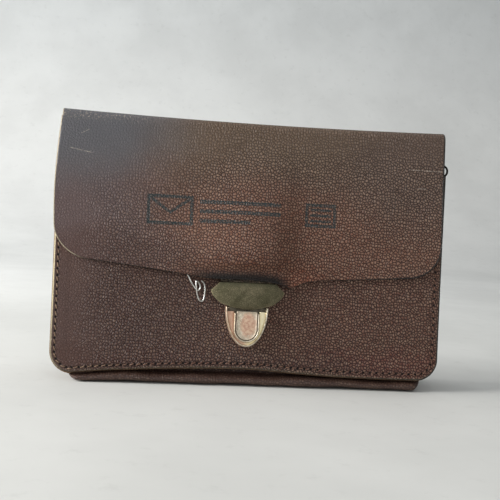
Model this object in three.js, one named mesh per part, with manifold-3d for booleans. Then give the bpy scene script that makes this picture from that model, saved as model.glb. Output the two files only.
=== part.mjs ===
import * as THREE from "three";
import { mergeVertices } from "three/addons/utils/BufferGeometryUtils.js";
import Module from "manifold-3d";

// A flat leather post bag: a back panel that folds over the top as a flap, a front panel,
// a gusset between them and a press lock. Millimetres, +Z up, the front faces -Y.

const wasm = await Module();
wasm.setup();

// Leather
const hideThickness = 2.2;
const gussetThickness = 1.6;
const touchGap = 0.3;

// Body of the bag
const bagWidth = 270.4;
const bagHeight = 184.5;
const bottomDepth = 48;
const topDepth = 31;
const panelHeight = 148;
const panelFlare = 2;
const panelFlarePower = 1.5;
const panelCornerRadius = 15;
const panelEdgeHeight = 7;
const panelEdgeSlant = 1.4;
const panelEdgeBow = 5.4;

// Flap
const flapReach = 105;
const flapCornerRadius = 22;
const flapHemWave = 7;
const flapLift = 9;
const flapSideBulge = 3;
const frontFoldRadius = 5;
const backFoldRadius = 8;
const topSag = 2;
const flapRowEase = 0.45;

// Gusset
const flangeWidth = 6;
const flangeProud = 0.6;
const hairpinRadius = 1.5;
const sideTuck = 6.5;
const rollCornerRadius = 8;
const rollFlatShare = 0.5;
const gussetRearRise = 14;
const gussetWallRise = 12;
const gussetStraightShare = 0.14;
const gussetTopInset = 1;
const sideBendDegrees = 75;
const footBendDegrees = 180;

// Press lock
const lockWidth = 30;
const lockHeight = 27.4;
const lockDrop = 25.6;
const lockOffset = -3.1;
const lockBackWall = 0.75;
const tonguePlate = 0.8;
const tongueClearance = 0.3;
const tongueDepth = 10;
const tongueUnderPad = 0.55;
const tongueCutShare = 0.3;
const bedDepth = 4.4;
const lockRimDepth = 5.2;
const lockRimWidth = 1.7;
const cavityPlay = 0.1;
const cutPast = 1;
const buttonRimDepth = 6.6;
const buttonRimWidth = 1.9;
const lockArmDrop = 2.6;
const notchDrop = 2.4;
const notchPlay = 0.2;
const buttonWidth = 14.5;
const buttonThickness = 2.1;
const buttonGap = 0.35;
const buttonInset = 0.4;
const buttonFoot = 2.6;

// Padded tab between the flap and the lock
const tabWidth = 51;
const tabPadHeight = 17;
const tabThickness = 6.2;
const tabFootCurve = 7;
const tabFootRise = 1.1;
const tabNeck = 4.5;
const padRimShare = 0.28;
const padThinShare = 0.24;
const padDomePower = 0.55;
const tabStripWidth = 28;
const tabStripThickness = 2;
const tabStripLength = 20;
const tabStripPlay = 0.45;

// Bent wire clip under the flap's edge
const wireDiameter = 1.1;
const clipWidth = 13.9;
const clipHeight = 20;
const clipDepth = 2.65;
const clipLeft = -46.5;
const clipDrop = 22.6;

// Ring at the side
const ringWire = 1.5;
const ringHeight = 9.6;
const ringReach = 13.4;
const ringAbovePanel = 4;
const ringCorner = 1.4;
const ringTabWidth = 5.6;
const ringTabThickness = 1.5;
const ringTabLeg = 2.4;
const ringTabLegShare = 0.8;
const ringPlay = 0.35;

// Worked-out places
const halfWidth = bagWidth / 2;
const frontFootY = -bottomDepth / 2;
const backFaceY = bottomDepth / 2;
const flapSeat = touchGap + hideThickness / 2;
const lean = Math.atan2(bottomDepth - topDepth + touchGap + hideThickness, bagHeight - panelEdgeHeight);
const leanSin = Math.sin(lean);
const leanCos = Math.cos(lean);
const backHideY = backFaceY - hideThickness / 2;
const hemLevel = (bagHeight - panelEdgeHeight) / leanCos - flapReach;
const lockTop = hemLevel - lockDrop;
const clipFoot = hemLevel - clipDrop;
const ringLevel = panelHeight + ringAbovePanel;

// Edge of the front and back panels along the width: shares of the half width and of the bow
const edgeBowRows = [
  { across: -1, rise: 0 },
  { across: -0.7, rise: 0.5 },
  { across: -0.35, rise: 0.9 },
  { across: 0, rise: 1 },
  { across: 0.25, rise: 0.56 },
  { across: 0.5, rise: 0.22 },
  { across: 1, rise: 0 },
];

// Hem of the flap: shares of the half width and of the hem's wave, above the hem level
const hemRows = [
  { across: -1, rise: 0.5 },
  { across: -0.72, rise: 0.14 },
  { across: -0.43, rise: -0.5 },
  { across: -0.22, rise: -0.88 },
  { across: -0.12, rise: -0.5 },
  { across: -0.02, rise: -0.28 },
  { across: 0.08, rise: -0.45 },
  { across: 0.155, rise: -1.24 },
  { across: 0.2, rise: -1.6 },
  { across: 0.25, rise: -1.2 },
  { across: 0.32, rise: -0.8 },
  { across: 0.5, rise: -0.54 },
  { across: 0.75, rise: -0.2 },
  { across: 1, rise: 0.1 },
];

// Lift of the flap over the lock, along the width
const liftAcrossRows = [
  { across: -1, share: 0 },
  { across: -0.6, share: 0.04 },
  { across: -0.42, share: 0.2 },
  { across: -0.3, share: 0.36 },
  { across: -0.18, share: 0.74 },
  { across: -0.05, share: 1 },
  { across: 0.08, share: 0.93 },
  { across: 0.16, share: 0.6 },
  { across: 0.22, share: 0.2 },
  { across: 0.32, share: 0.07 },
  { across: 0.6, share: 0 },
  { across: 1, share: 0 },
];

// Lift of the flap from its hem (up 0) to the fold at the top (up 1)
const liftUpRows = [
  { up: 0, share: 0.66 },
  { up: 0.07, share: 0.92 },
  { up: 0.16, share: 1 },
  { up: 0.3, share: 0.78 },
  { up: 0.5, share: 0.4 },
  { up: 0.75, share: 0.1 },
  { up: 1, share: 0 },
];

// Pad of the tab from its foot to its top: shares of its height, half width and thickness
const padRows = [
  { up: 0, half: 0.78, thick: 0.3 },
  { up: 0.12, half: 0.88, thick: 0.62 },
  { up: 0.28, half: 0.96, thick: 0.86 },
  { up: 0.5, half: 1, thick: 1 },
  { up: 0.72, half: 0.97, thick: 0.98 },
  { up: 0.9, half: 0.88, thick: 0.82 },
  { up: 1, half: 0.8, thick: 0.6 },
];

// Bends of the wire: shares of the clip's width, depth and height
const wireRows = [
  { across: 0, out: 0, up: 1 },
  { across: 0.18, out: 0, up: 0.8 },
  { across: 0.32, out: 0.04, up: 0.62 },
  { across: 0.5, out: 0.08, up: 0.445 },
  { across: 0.655, out: 0.08, up: 0.35 },
  { across: 0.755, out: 0.12, up: 0.43 },
  { across: 0.73, out: 0.2, up: 0.56 },
  { across: 0.625, out: 0.4, up: 0.66 },
  { across: 0.54, out: 0.8, up: 0.68 },
  { across: 0.54, out: 1, up: 0.58 },
  { across: 0.58, out: 0.92, up: 0.35 },
  { across: 0.65, out: 0.8, up: 0.15 },
  { across: 0.76, out: 0.64, up: 0.01 },
  { across: 0.89, out: 0.48, up: 0 },
  { across: 0.965, out: 0.4, up: 0.11 },
  { across: 1, out: 0.36, up: 0.3 },
  { across: 0.985, out: 0.32, up: 0.5 },
  { across: 0.93, out: 0.2, up: 0.61 },
  { across: 0.83, out: 0.08, up: 0.68 },
];

// Pull of the wall's curve where it leaves a flange and where it meets the flat: shares of its fall and run
const wallPull = {
  side: { startFall: 0.12, startRun: 0.4, endRun: 0.7 },
  foot: { startFall: 0.6, startRun: 0, endRun: 0.35 },
};

function smoothTable(rows, key, value) {
  const points = rows.map((row) => new THREE.Vector2(row[key], row[value]));
  return (at) => {
    const last = points.length - 1;
    if (at <= points[0].x) return points[0].y;
    if (at >= points[last].x) return points[last].y;
    let i = 0;
    while (points[i + 1].x < at) i += 1;
    const before = points[Math.max(i - 1, 0)];
    const from = points[i];
    const to = points[i + 1];
    const after = points[Math.min(i + 2, last)];
    const span = to.x - from.x;
    const slopeFrom = i === 0 ? 0 : (to.y - before.y) / (to.x - before.x);
    const slopeTo = i + 1 === last ? 0 : (after.y - from.y) / (after.x - from.x);
    const t = (at - from.x) / span;
    const rise = to.y - from.y;
    const bend = slopeFrom * span - rise;
    const unbend = rise - slopeTo * span;
    return from.y + rise * t + t * (1 - t) * (bend * (1 - t) + unbend * t);
  };
}

const edgeBow = smoothTable(edgeBowRows, "across", "rise");
const hemWave = smoothTable(hemRows, "across", "rise");
const liftAcross = smoothTable(liftAcrossRows, "across", "share");
const liftUp = smoothTable(liftUpRows, "up", "share");

// Shared helpers for sheets and solids
function roundRise(distance, radius) {
  if (distance <= 0) return 0;
  const reach = Math.min(distance, radius);
  return radius - Math.sqrt(radius * radius - reach * reach);
}

function columnShares(half, radius, middleCount, cornerCount) {
  const straight = (half - radius) / half;
  const shares = [];
  for (let i = cornerCount; i >= 1; i -= 1) {
    shares.push(-straight - (radius / half) * Math.sin((i / cornerCount) * Math.PI / 2));
  }
  for (let i = 0; i <= middleCount; i += 1) {
    shares.push(straight * (2 * i / middleCount - 1));
  }
  for (let i = 1; i <= cornerCount; i += 1) {
    shares.push(straight + (radius / half) * Math.sin((i / cornerCount) * Math.PI / 2));
  }
  return shares;
}

function closedSheet(outer, inner) {
  const rows = outer.length;
  const columns = outer[0].length;
  const positions = [];
  for (const grid of [outer, inner]) {
    for (const row of grid) {
      for (const point of row) positions.push(point.x, point.y, point.z);
    }
  }
  const index = [];
  const at = (side, i, j) => (side * rows + i) * columns + j;
  const quad = (a, b, c, d) => index.push(a, b, c, a, c, d);
  for (let i = 0; i + 1 < rows; i += 1) {
    for (let j = 0; j + 1 < columns; j += 1) {
      quad(at(0, i, j), at(0, i, j + 1), at(0, i + 1, j + 1), at(0, i + 1, j));
      quad(at(1, i, j), at(1, i + 1, j), at(1, i + 1, j + 1), at(1, i, j + 1));
    }
  }
  for (let i = 0; i + 1 < rows; i += 1) {
    const last = columns - 1;
    quad(at(0, i, 0), at(0, i + 1, 0), at(1, i + 1, 0), at(1, i, 0));
    quad(at(0, i, last), at(1, i, last), at(1, i + 1, last), at(0, i + 1, last));
  }
  for (let j = 0; j + 1 < columns; j += 1) {
    const last = rows - 1;
    quad(at(0, 0, j), at(1, 0, j), at(1, 0, j + 1), at(0, 0, j + 1));
    quad(at(0, last, j), at(0, last, j + 1), at(1, last, j + 1), at(1, last, j));
  }
  const geometry = new THREE.BufferGeometry();
  geometry.setAttribute("position", new THREE.Float32BufferAttribute(positions, 3));
  geometry.setIndex(index);
  return facingOut(geometry);
}

function facingOut(geometry) {
  const position = geometry.getAttribute("position");
  const index = geometry.getIndex();
  const a = new THREE.Vector3();
  const b = new THREE.Vector3();
  const c = new THREE.Vector3();
  let volume = 0;
  for (let i = 0; i < index.count; i += 3) {
    a.fromBufferAttribute(position, index.getX(i));
    b.fromBufferAttribute(position, index.getX(i + 1));
    c.fromBufferAttribute(position, index.getX(i + 2));
    volume += a.dot(b.cross(c));
  }
  if (volume < 0) {
    for (let i = 0; i < index.count; i += 3) {
      const kept = index.getX(i + 1);
      index.setX(i + 1, index.getX(i + 2));
      index.setX(i + 2, kept);
    }
  }
  geometry.computeVertexNormals();
  return geometry;
}

function sheetNormals(grid) {
  const rows = grid.length;
  const columns = grid[0].length;
  const along = new THREE.Vector3();
  const across = new THREE.Vector3();
  return grid.map((row, i) => row.map((point, j) => {
    along.subVectors(grid[Math.min(i + 1, rows - 1)][j], grid[Math.max(i - 1, 0)][j]);
    across.subVectors(row[Math.min(j + 1, columns - 1)], row[Math.max(j - 1, 0)]);
    return new THREE.Vector3().crossVectors(along, across).normalize();
  }));
}

function thickSheet(grid, thickness) {
  const normals = sheetNormals(grid);
  const shifted = (side) => grid.map((row, i) => row.map((point, j) =>
    point.clone().addScaledVector(normals[i][j], side * thickness / 2)));
  return closedSheet(shifted(1), shifted(-1));
}

function toManifold(geometry) {
  const plain = geometry.clone();
  plain.deleteAttribute("normal");
  plain.deleteAttribute("uv");
  const mergeDistance = 1e-4;
  const merged = mergeVertices(plain, mergeDistance);
  const vertProperties = new Float32Array(merged.getAttribute("position").array);
  const triVerts = new Uint32Array(merged.getIndex().array);
  return new wasm.Manifold(new wasm.Mesh({ numProp: 3, vertProperties, triVerts }));
}

function fromManifold(solid) {
  const mesh = solid.getMesh();
  const geometry = new THREE.BufferGeometry();
  geometry.setAttribute("position", new THREE.BufferAttribute(new Float32Array(mesh.vertProperties), 3));
  geometry.setIndex(new THREE.BufferAttribute(new Uint32Array(mesh.triVerts), 1));
  geometry.computeVertexNormals();
  return geometry;
}

// A flat outline, across and up, made into a slab that stands out from the front panel
function slab(shape, from, to) {
  const geometry = new THREE.ExtrudeGeometry(shape, {
    depth: to - from,
    bevelEnabled: false,
    curveSegments: 18,
  });
  geometry.translate(0, 0, from);
  geometry.rotateX(Math.PI / 2);
  return geometry;
}

function boxShape(left, right, low, high) {
  const shape = new THREE.Shape();
  shape.moveTo(left, low);
  shape.lineTo(right, low);
  shape.lineTo(right, high);
  shape.lineTo(left, high);
  shape.closePath();
  return shape;
}

function mesh(name, geometry, color, roughness, metalness) {
  const material = new THREE.MeshStandardMaterial({ color, roughness, metalness });
  const made = new THREE.Mesh(geometry, material);
  made.name = name;
  return made;
}

// Places on the leaning front: x across, out from the panel's face, up along it
function onFront(x, out, up) {
  return new THREE.Vector3(
    x,
    frontFootY + up * leanSin - out * leanCos,
    panelEdgeHeight + up * leanCos + out * leanSin,
  );
}

function panelHalf(up) {
  const rise = THREE.MathUtils.clamp(up / panelHeight, 0, 1);
  return halfWidth + panelFlare * Math.pow(rise, panelFlarePower);
}

function panelEdge(x) {
  return panelEdgeSlant * (x / halfWidth) + panelEdgeBow * edgeBow(x / halfWidth);
}

// Front panel, flat and leaning back, with two rounded corners at its foot
function frontPanel() {
  const shares = columnShares(halfWidth, panelCornerRadius, 18, 7);
  const rowCount = 4;
  const side = (out) => {
    const rows = [];
    for (let i = 0; i <= rowCount; i += 1) {
      rows.push(shares.map((share) => {
        const flat = share * halfWidth;
        const corner = roundRise(Math.abs(flat) - (halfWidth - panelCornerRadius), panelCornerRadius);
        const low = panelEdge(flat) + corner;
        const up = low + (panelHeight - low) * (i / rowCount);
        return new THREE.Vector3(share * panelHalf(up), -out, up);
      }));
    }
    return rows;
  };
  return mesh("front_panel", closedSheet(side(0), side(-hideThickness)), 0x4e392f, 0.6, 0);
}

// Back panel, top fold and flap, one hide from the back's foot to the flap's hem
function flapHalf(share, up) {
  const shape = Math.sin(Math.PI * THREE.MathUtils.clamp((up - hemLevel) / flapReach, 0, 1));
  return share < 0 ? halfWidth + flapSideBulge * shape : halfWidth;
}

function flapHem(share) {
  const flat = Math.abs(share) * halfWidth;
  const corner = roundRise(flat - (halfWidth - flapCornerRadius), flapCornerRadius);
  return hemLevel + flapHemWave * hemWave(share) + corner;
}

function flapOut(share, up) {
  const height = THREE.MathUtils.clamp((up - hemLevel) / flapReach, 0, 1);
  return flapSeat + flapLift * liftAcross(share) * liftUp(height);
}

function topLevel(share) {
  return bagHeight - hideThickness / 2 - topSag * (1 - share * share);
}

function foldColumn(share) {
  const crown = topLevel(share);
  const meet = (crown - panelEdgeHeight - flapSeat * leanSin) / leanCos;
  const turn = Math.PI / 2 - lean;
  const frontEnd = meet - frontFoldRadius * Math.tan(turn / 2);
  const start = onFront(0, flapSeat, frontEnd);
  const centre = onFront(0, flapSeat - frontFoldRadius, frontEnd);
  return { crown, frontEnd, turn, start, centre };
}

function backAndFlap() {
  const shares = columnShares(halfWidth, flapCornerRadius, 26, 6);
  const backRows = 4;
  const backFoldSteps = 4;
  const frontFoldSteps = 4;
  const flapRows = 13;
  const grid = [];
  for (let i = 0; i < backRows; i += 1) {
    grid.push(shares.map((share) => {
      const flat = share * halfWidth;
      const corner = roundRise(Math.abs(flat) - (halfWidth - panelCornerRadius), panelCornerRadius);
      const low = panelEdgeHeight + panelEdge(flat) + corner;
      const high = topLevel(share) - backFoldRadius;
      return new THREE.Vector3(flat, backHideY, low + (high - low) * (i / backRows));
    }));
  }
  for (let i = 0; i <= backFoldSteps; i += 1) {
    const angle = (i / backFoldSteps) * Math.PI / 2;
    grid.push(shares.map((share) => new THREE.Vector3(
      share * halfWidth,
      backHideY - backFoldRadius * (1 - Math.cos(angle)),
      topLevel(share) - backFoldRadius * (1 - Math.sin(angle)),
    )));
  }
  for (let i = frontFoldSteps; i >= 1; i -= 1) {
    grid.push(shares.map((share) => {
      const fold = foldColumn(share);
      const angle = (i / frontFoldSteps) * fold.turn + lean;
      return new THREE.Vector3(
        share * halfWidth,
        fold.centre.y - frontFoldRadius * Math.cos(angle),
        fold.centre.z + frontFoldRadius * Math.sin(angle),
      );
    }));
  }
  for (let i = 0; i <= flapRows; i += 1) {
    const reach = i / flapRows;
    const eased = reach * (1 + flapRowEase * (1 - reach));
    grid.push(shares.map((share) => {
      const high = foldColumn(share).frontEnd;
      const up = high + (flapHem(share) - high) * eased;
      return onFront(share * flapHalf(share, up), flapOut(share, up), up);
    }));
  }
  return mesh("back_and_flap", thickSheet(grid, hideThickness), 0x5c4a41, 0.6, 0);
}

// Gusset: a U-shaped strip whose edges are flanges behind the two panels
function outlineStation(side, station) {
  const up = station.height;
  if (station.kind === "side") {
    return { x: side * panelHalf(up), up, nx: side, nz: 0 };
  }
  if (station.kind === "corner") {
    const flat = halfWidth - panelCornerRadius + panelCornerRadius * Math.sin(station.angle);
    const base = panelEdge(side * halfWidth);
    return {
      x: side * flat,
      up: base + panelCornerRadius * (1 - Math.cos(station.angle)),
      nx: side * Math.sin(station.angle),
      nz: -Math.cos(station.angle),
    };
  }
  const x = side * station.share * (halfWidth - panelCornerRadius);
  return { x, up: panelEdge(x), nx: 0, nz: -1 };
}

function gussetStations() {
  const sideSteps = 7;
  const cornerSteps = 6;
  const bottomSteps = 8;
  const half = [];
  for (let i = 0; i < sideSteps; i += 1) {
    half.push({ kind: "side", fall: i / sideSteps, bottom: 0 });
  }
  for (let i = 0; i < cornerSteps; i += 1) {
    const angle = (Math.PI / 2) * (1 - i / cornerSteps);
    half.push({ kind: "corner", angle, bottom: i / cornerSteps });
  }
  for (let i = 0; i <= bottomSteps; i += 1) {
    half.push({ kind: "bottom", share: 1 - i / bottomSteps, bottom: 1 });
  }
  const left = half.map((station) => ({ ...station, side: -1 }));
  const right = half.slice(0, -1).reverse().map((station) => ({ ...station, side: 1 }));
  return left.concat(right);
}

function gussetWallHalf(fall) {
  const below = Math.max(0, (fall - gussetStraightShare) / (1 - gussetStraightShare));
  const tuck = sideTuck * Math.sin(below * Math.PI / 2);
  return halfWidth - flangeWidth - hairpinRadius - tuck;
}

function gussetWallPoint(station, root, rise) {
  const floorZ = gussetThickness / 2;
  const sideX = gussetWallHalf(1);
  if (station.kind === "side") {
    const lifted = root.z + rise * Math.pow(1 - station.fall, 2);
    return {
      x: station.side * gussetWallHalf(station.fall),
      z: Math.max(lifted, floorZ + rollCornerRadius),
    };
  }
  if (station.kind === "corner") {
    const turn = station.angle;
    return {
      x: station.side * (sideX - rollCornerRadius + rollCornerRadius * Math.sin(turn)),
      z: floorZ + rollCornerRadius * (1 - Math.cos(turn)),
    };
  }
  return { x: station.side * station.share * (sideX - rollCornerRadius), z: floorZ };
}

function gussetSection(station) {
  const flangeBack = hideThickness + touchGap + gussetThickness / 2;
  const topFront = panelHeight - gussetTopInset;
  const cornerTop = panelEdge(station.side * halfWidth) + panelCornerRadius;
  const frontUp = topFront + (cornerTop - topFront) * (station.fall ?? 0);
  const rearTop = topFront + gussetRearRise;
  const rearUp = rearTop + (cornerTop - rearTop) * (station.fall ?? 0);
  const front = outlineStation(station.side, { ...station, height: frontUp });
  const rear = outlineStation(station.side, { ...station, height: rearUp });
  const rearX = Math.abs(rear.x) > halfWidth ? station.side * halfWidth : rear.x;
  const rearPlane = backFaceY - hideThickness - touchGap - gussetThickness / 2;
  const frontAt = (inset, back) => onFront(
    front.x - front.nx * inset,
    -flangeBack - back,
    front.up - front.nz * inset,
  );
  const rearAt = (inset, forward) => new THREE.Vector3(
    rearX - rear.nx * inset,
    rearPlane - forward,
    panelEdgeHeight + rear.up - rear.nz * inset,
  );
  const between = (side, foot) => THREE.MathUtils.lerp(side, foot, station.bottom);
  const turn = THREE.MathUtils.degToRad(between(sideBendDegrees, footBendDegrees));
  const bendSteps = 4;
  const section = [frontAt(-flangeProud, 0)];
  for (let i = 0; i <= bendSteps; i += 1) {
    const angle = turn * (i / bendSteps);
    section.push(frontAt(
      flangeWidth + hairpinRadius * Math.sin(angle),
      hairpinRadius * (1 - Math.cos(angle)),
    ));
  }
  const exitFront = section[section.length - 1];
  const rearBend = [];
  for (let i = bendSteps; i >= 0; i -= 1) {
    const angle = turn * (i / bendSteps);
    rearBend.push(rearAt(
      flangeWidth + hairpinRadius * Math.sin(angle),
      hairpinRadius * (1 - Math.cos(angle)),
    ));
  }
  const exitRear = rearBend[0];
  const wallFront = gussetWallPoint(station, exitFront, gussetWallRise);
  const wallRear = gussetWallPoint(station, exitRear, 0);
  const depth = exitRear.y - exitFront.y;
  const curveShare = (1 - rollFlatShare) / 2;
  const wallSteps = 4;
  const kneeFront = new THREE.Vector3(wallFront.x, exitFront.y + depth * curveShare, wallFront.z);
  const kneeRear = new THREE.Vector3(wallRear.x, exitRear.y - depth * curveShare, wallRear.z);
  const startFall = between(wallPull.side.startFall, wallPull.foot.startFall);
  const startRun = between(wallPull.side.startRun, wallPull.foot.startRun);
  const endRun = between(wallPull.side.endRun, wallPull.foot.endRun);
  const curve = (exit, knee, t) => {
    const early = 3 * (1 - t) * (1 - t) * t;
    const late = 3 * (1 - t) * t * t;
    const end = t * t * t;
    const fall = early * startFall + late + end;
    const run = early * startRun + late * endRun + end;
    return new THREE.Vector3(
      exit.x + (knee.x - exit.x) * fall,
      exit.y + (knee.y - exit.y) * run,
      exit.z + (knee.z - exit.z) * fall,
    );
  };
  for (let i = 1; i <= wallSteps; i += 1) section.push(curve(exitFront, kneeFront, i / wallSteps));
  for (let i = wallSteps; i >= 1; i -= 1) section.push(curve(exitRear, kneeRear, i / wallSteps));
  section.push(...rearBend);
  section.push(rearAt(-flangeProud, 0));
  return section;
}

function gusset() {
  const grid = gussetStations().map((station) => gussetSection(station));
  return mesh("gusset", thickSheet(grid, gussetThickness), 0x3f2f29, 0.65, 0);
}

// Press lock: a shield-shaped shell with a U-shaped rim round its button
const slotBack = touchGap + lockBackWall;
const tongueBack = slotBack + tongueClearance;
const slotFront = tongueBack + tonguePlate + tongueClearance;

function shieldShape(half, drop, top) {
  const shape = new THREE.Shape();
  shape.moveTo(-half, top);
  shape.absellipse(0, lockTop, half, drop, Math.PI, 2 * Math.PI, false, 0);
  shape.lineTo(half, top);
  shape.closePath();
  return shape;
}

function archShape(half, foot, top) {
  const shape = new THREE.Shape();
  shape.moveTo(-half, top);
  shape.lineTo(-half, foot + half);
  shape.absarc(0, foot + half, half, Math.PI, 2 * Math.PI, false);
  shape.lineTo(half, top);
  shape.closePath();
  return shape;
}

const lockFoot = lockTop - lockHeight;
const buttonHalf = buttonWidth / 2;
const pocketHalf = buttonHalf + buttonGap;
const buttonTop = lockTop - lockArmDrop - buttonGap;
const pocketFoot = lockFoot + buttonFoot + buttonRimWidth;
const pastTop = lockTop + lockRimDepth;
const pastRim = buttonRimDepth + cutPast;
const cavityInset = lockRimWidth + cavityPlay;

function lockPlate() {
  const half = lockWidth / 2;
  const armInner = half - lockRimWidth;
  const shell = shieldShape(half, lockHeight, lockTop);
  const inside = shieldShape(armInner, lockHeight - lockRimWidth, pastTop);
  const rim = toManifold(slab(shell, touchGap, lockRimDepth))
    .subtract(toManifold(slab(inside, bedDepth, pastRim)));
  const rimHalf = pocketHalf + buttonRimWidth;
  const buttonRim = slab(
    archShape(rimHalf, pocketFoot - buttonRimWidth, buttonTop), slotFront, buttonRimDepth);
  const cavity = slab(
    shieldShape(half - cavityInset, lockHeight - cavityInset, pastTop), slotBack, slotFront);
  const pocket = slab(archShape(pocketHalf, pocketFoot, pastTop), slotBack, pastRim);
  const aboveBar = slab(
    boxShape(-armInner, armInner, lockTop - lockArmDrop, pastTop), slotFront - cavityPlay, pastRim);
  let solid = rim.add(toManifold(buttonRim));
  for (const cut of [cavity, pocket, aboveBar]) solid = solid.subtract(toManifold(cut));
  for (const side of [-1, 1]) {
    const near = side * (rimHalf + notchPlay);
    const far = side * armInner;
    const notch = boxShape(
      Math.min(near, far), Math.max(near, far), lockTop - lockArmDrop - notchDrop, pastTop);
    solid = solid.subtract(toManifold(slab(notch, slotFront - cavityPlay, pastRim)));
  }
  const made = mesh("lock_plate", fromManifold(solid), 0xb8a38c, 0.35, 1);
  made.position.x = lockOffset;
  return made;
}

function lockButton() {
  const front = buttonRimDepth - buttonInset;
  const shape = archShape(buttonHalf, pocketFoot + buttonGap, buttonTop);
  const made = mesh("lock_button", slab(shape, front - buttonThickness, front), 0xba9e87, 0.4, 1);
  made.position.x = lockOffset;
  return made;
}

function tongueHalf() {
  const drop = tongueDepth / (lockHeight - cavityInset);
  return (lockWidth / 2 - cavityInset) * Math.sqrt(1 - drop * drop) - tongueClearance;
}

function lockTongue() {
  const half = tongueHalf();
  const low = lockTop - tongueDepth;
  const high = lockTop + tabPadHeight * tongueUnderPad;
  const cut = half * tongueCutShare;
  const shape = new THREE.Shape();
  shape.moveTo(-half + cut, low);
  shape.lineTo(half - cut, low);
  shape.lineTo(half, low + cut);
  shape.lineTo(half, high);
  shape.lineTo(-half, high);
  shape.lineTo(-half, low + cut);
  shape.closePath();
  const made = mesh("lock_tongue", slab(shape, tongueBack, tongueBack + tonguePlate), 0xc4bfb6, 0.3, 1);
  made.position.x = lockOffset;
  return made;
}

// Tab: a stuffed pad over the tongue, with a strip that runs up under the flap
function lockTab() {
  const padBack = tongueBack + tonguePlate + touchGap;
  const padFoot = lockTop - lockArmDrop + tabFootRise;
  const columns = 12;
  const halfPad = tabWidth / 2;
  const stripBase = padFoot + tabPadHeight + tabNeck;
  const outer = [];
  const inner = [];
  for (const row of padRows) {
    const front = [];
    const back = [];
    for (let j = 0; j <= columns; j += 1) {
      const a = 2 * j / columns - 1;
      const x = lockOffset + a * row.half * halfPad;
      const dome = Math.pow(1 - a * a, padDomePower);
      const smile = tabFootCurve * Math.pow(a * row.half, 2) * (1 - row.up);
      const up = padFoot + smile + row.up * tabPadHeight;
      const share = padRimShare + (row.thick - padRimShare) * dome;
      const thick = tabThickness * Math.max(share, padThinShare);
      front.push(new THREE.Vector3(x, -(padBack + thick), up));
      back.push(new THREE.Vector3(x, -padBack, up));
    }
    outer.push(front);
    inner.push(back);
  }
  const stripRows = 4;
  for (let i = 0; i <= stripRows; i += 1) {
    const front = [];
    const back = [];
    const up = stripBase + (tabStripLength - tabNeck) * (i / stripRows);
    for (let j = 0; j <= columns; j += 1) {
      const a = 2 * j / columns - 1;
      const x = lockOffset + a * tabStripWidth / 2;
      const under = flapOut(x / halfWidth, up) - hideThickness / 2 - tabStripPlay;
      front.push(new THREE.Vector3(x, -under, up));
      back.push(new THREE.Vector3(x, -(under - tabStripThickness), up));
    }
    outer.push(front);
    inner.push(back);
  }
  return mesh("lock_tab", closedSheet(outer, inner), 0x58513f, 0.9, 0);
}

// Bent wire clip
function wireClip() {
  const nearest = touchGap + wireDiameter / 2;
  const points = wireRows.map((row) => new THREE.Vector3(
    clipLeft + row.across * clipWidth,
    -(nearest + row.out * clipDepth),
    clipFoot + row.up * clipHeight,
  ));
  const path = new THREE.CatmullRomCurve3(points, false, "centripetal");
  const section = new THREE.Shape();
  const sides = 7;
  for (let i = 0; i < sides; i += 1) {
    const angle = 2 * Math.PI * i / sides;
    const x = Math.cos(angle) * wireDiameter / 2;
    const y = Math.sin(angle) * wireDiameter / 2;
    if (i === 0) section.moveTo(x, y);
    else section.lineTo(x, y);
  }
  section.closePath();
  const geometry = new THREE.ExtrudeGeometry(section, { steps: 56, extrudePath: path });
  return mesh("wire_clip", geometry, 0xb9b9b6, 0.25, 1);
}

// Ring at the side and the leather tab that holds it to the gusset
const ringZ = onFront(0, 0, ringLevel).z;
const ringTabBase = gussetWallHalf(0) + gussetThickness / 2 + touchGap;
const ringBarX = ringTabBase + ringTabThickness + ringPlay + ringWire / 2;
const ringFrontY = onFront(0, 0, ringLevel).y;
const ringY = (ringFrontY + backFaceY) / 2;

function ringPath() {
  const radius = (ringHeight - ringWire) / 2;
  const reach = ringReach - ringWire;
  const points = [];
  const arc = (cx, cz, r, from, to, steps) => {
    for (let i = 0; i <= steps; i += 1) {
      const angle = from + (to - from) * (i / steps);
      points.push(new THREE.Vector2(cx + r * Math.cos(angle), cz + r * Math.sin(angle)));
    }
  };
  arc(reach - radius, 0, radius, -Math.PI / 2, Math.PI / 2, 8);
  arc(ringCorner, radius - ringCorner, ringCorner, Math.PI / 2, Math.PI, 2);
  arc(ringCorner, -radius + ringCorner, ringCorner, Math.PI, 3 * Math.PI / 2, 2);
  return points;
}

function sideRing() {
  const points = ringPath();
  const sides = 6;
  const positions = [];
  const index = [];
  const count = points.length;
  points.forEach((point, i) => {
    const before = points[(i + count - 1) % count];
    const after = points[(i + 1) % count];
    const outward = new THREE.Vector2(after.y - before.y, before.x - after.x).normalize();
    for (let k = 0; k < sides; k += 1) {
      const angle = 2 * Math.PI * k / sides;
      const out = Math.cos(angle) * ringWire / 2;
      positions.push(point.x + outward.x * out, Math.sin(angle) * ringWire / 2, point.y + outward.y * out);
      const next = (k + 1) % sides;
      const here = i * sides;
      const there = ((i + 1) % count) * sides;
      index.push(here + k, there + k, there + next, here + k, there + next, here + next);
    }
  });
  const geometry = new THREE.BufferGeometry();
  geometry.setAttribute("position", new THREE.Float32BufferAttribute(positions, 3));
  geometry.setIndex(index);
  const made = mesh("side_ring", facingOut(geometry), 0x2a2826, 0.45, 1);
  made.position.set(ringBarX, ringY, ringZ);
  return made;
}

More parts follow.
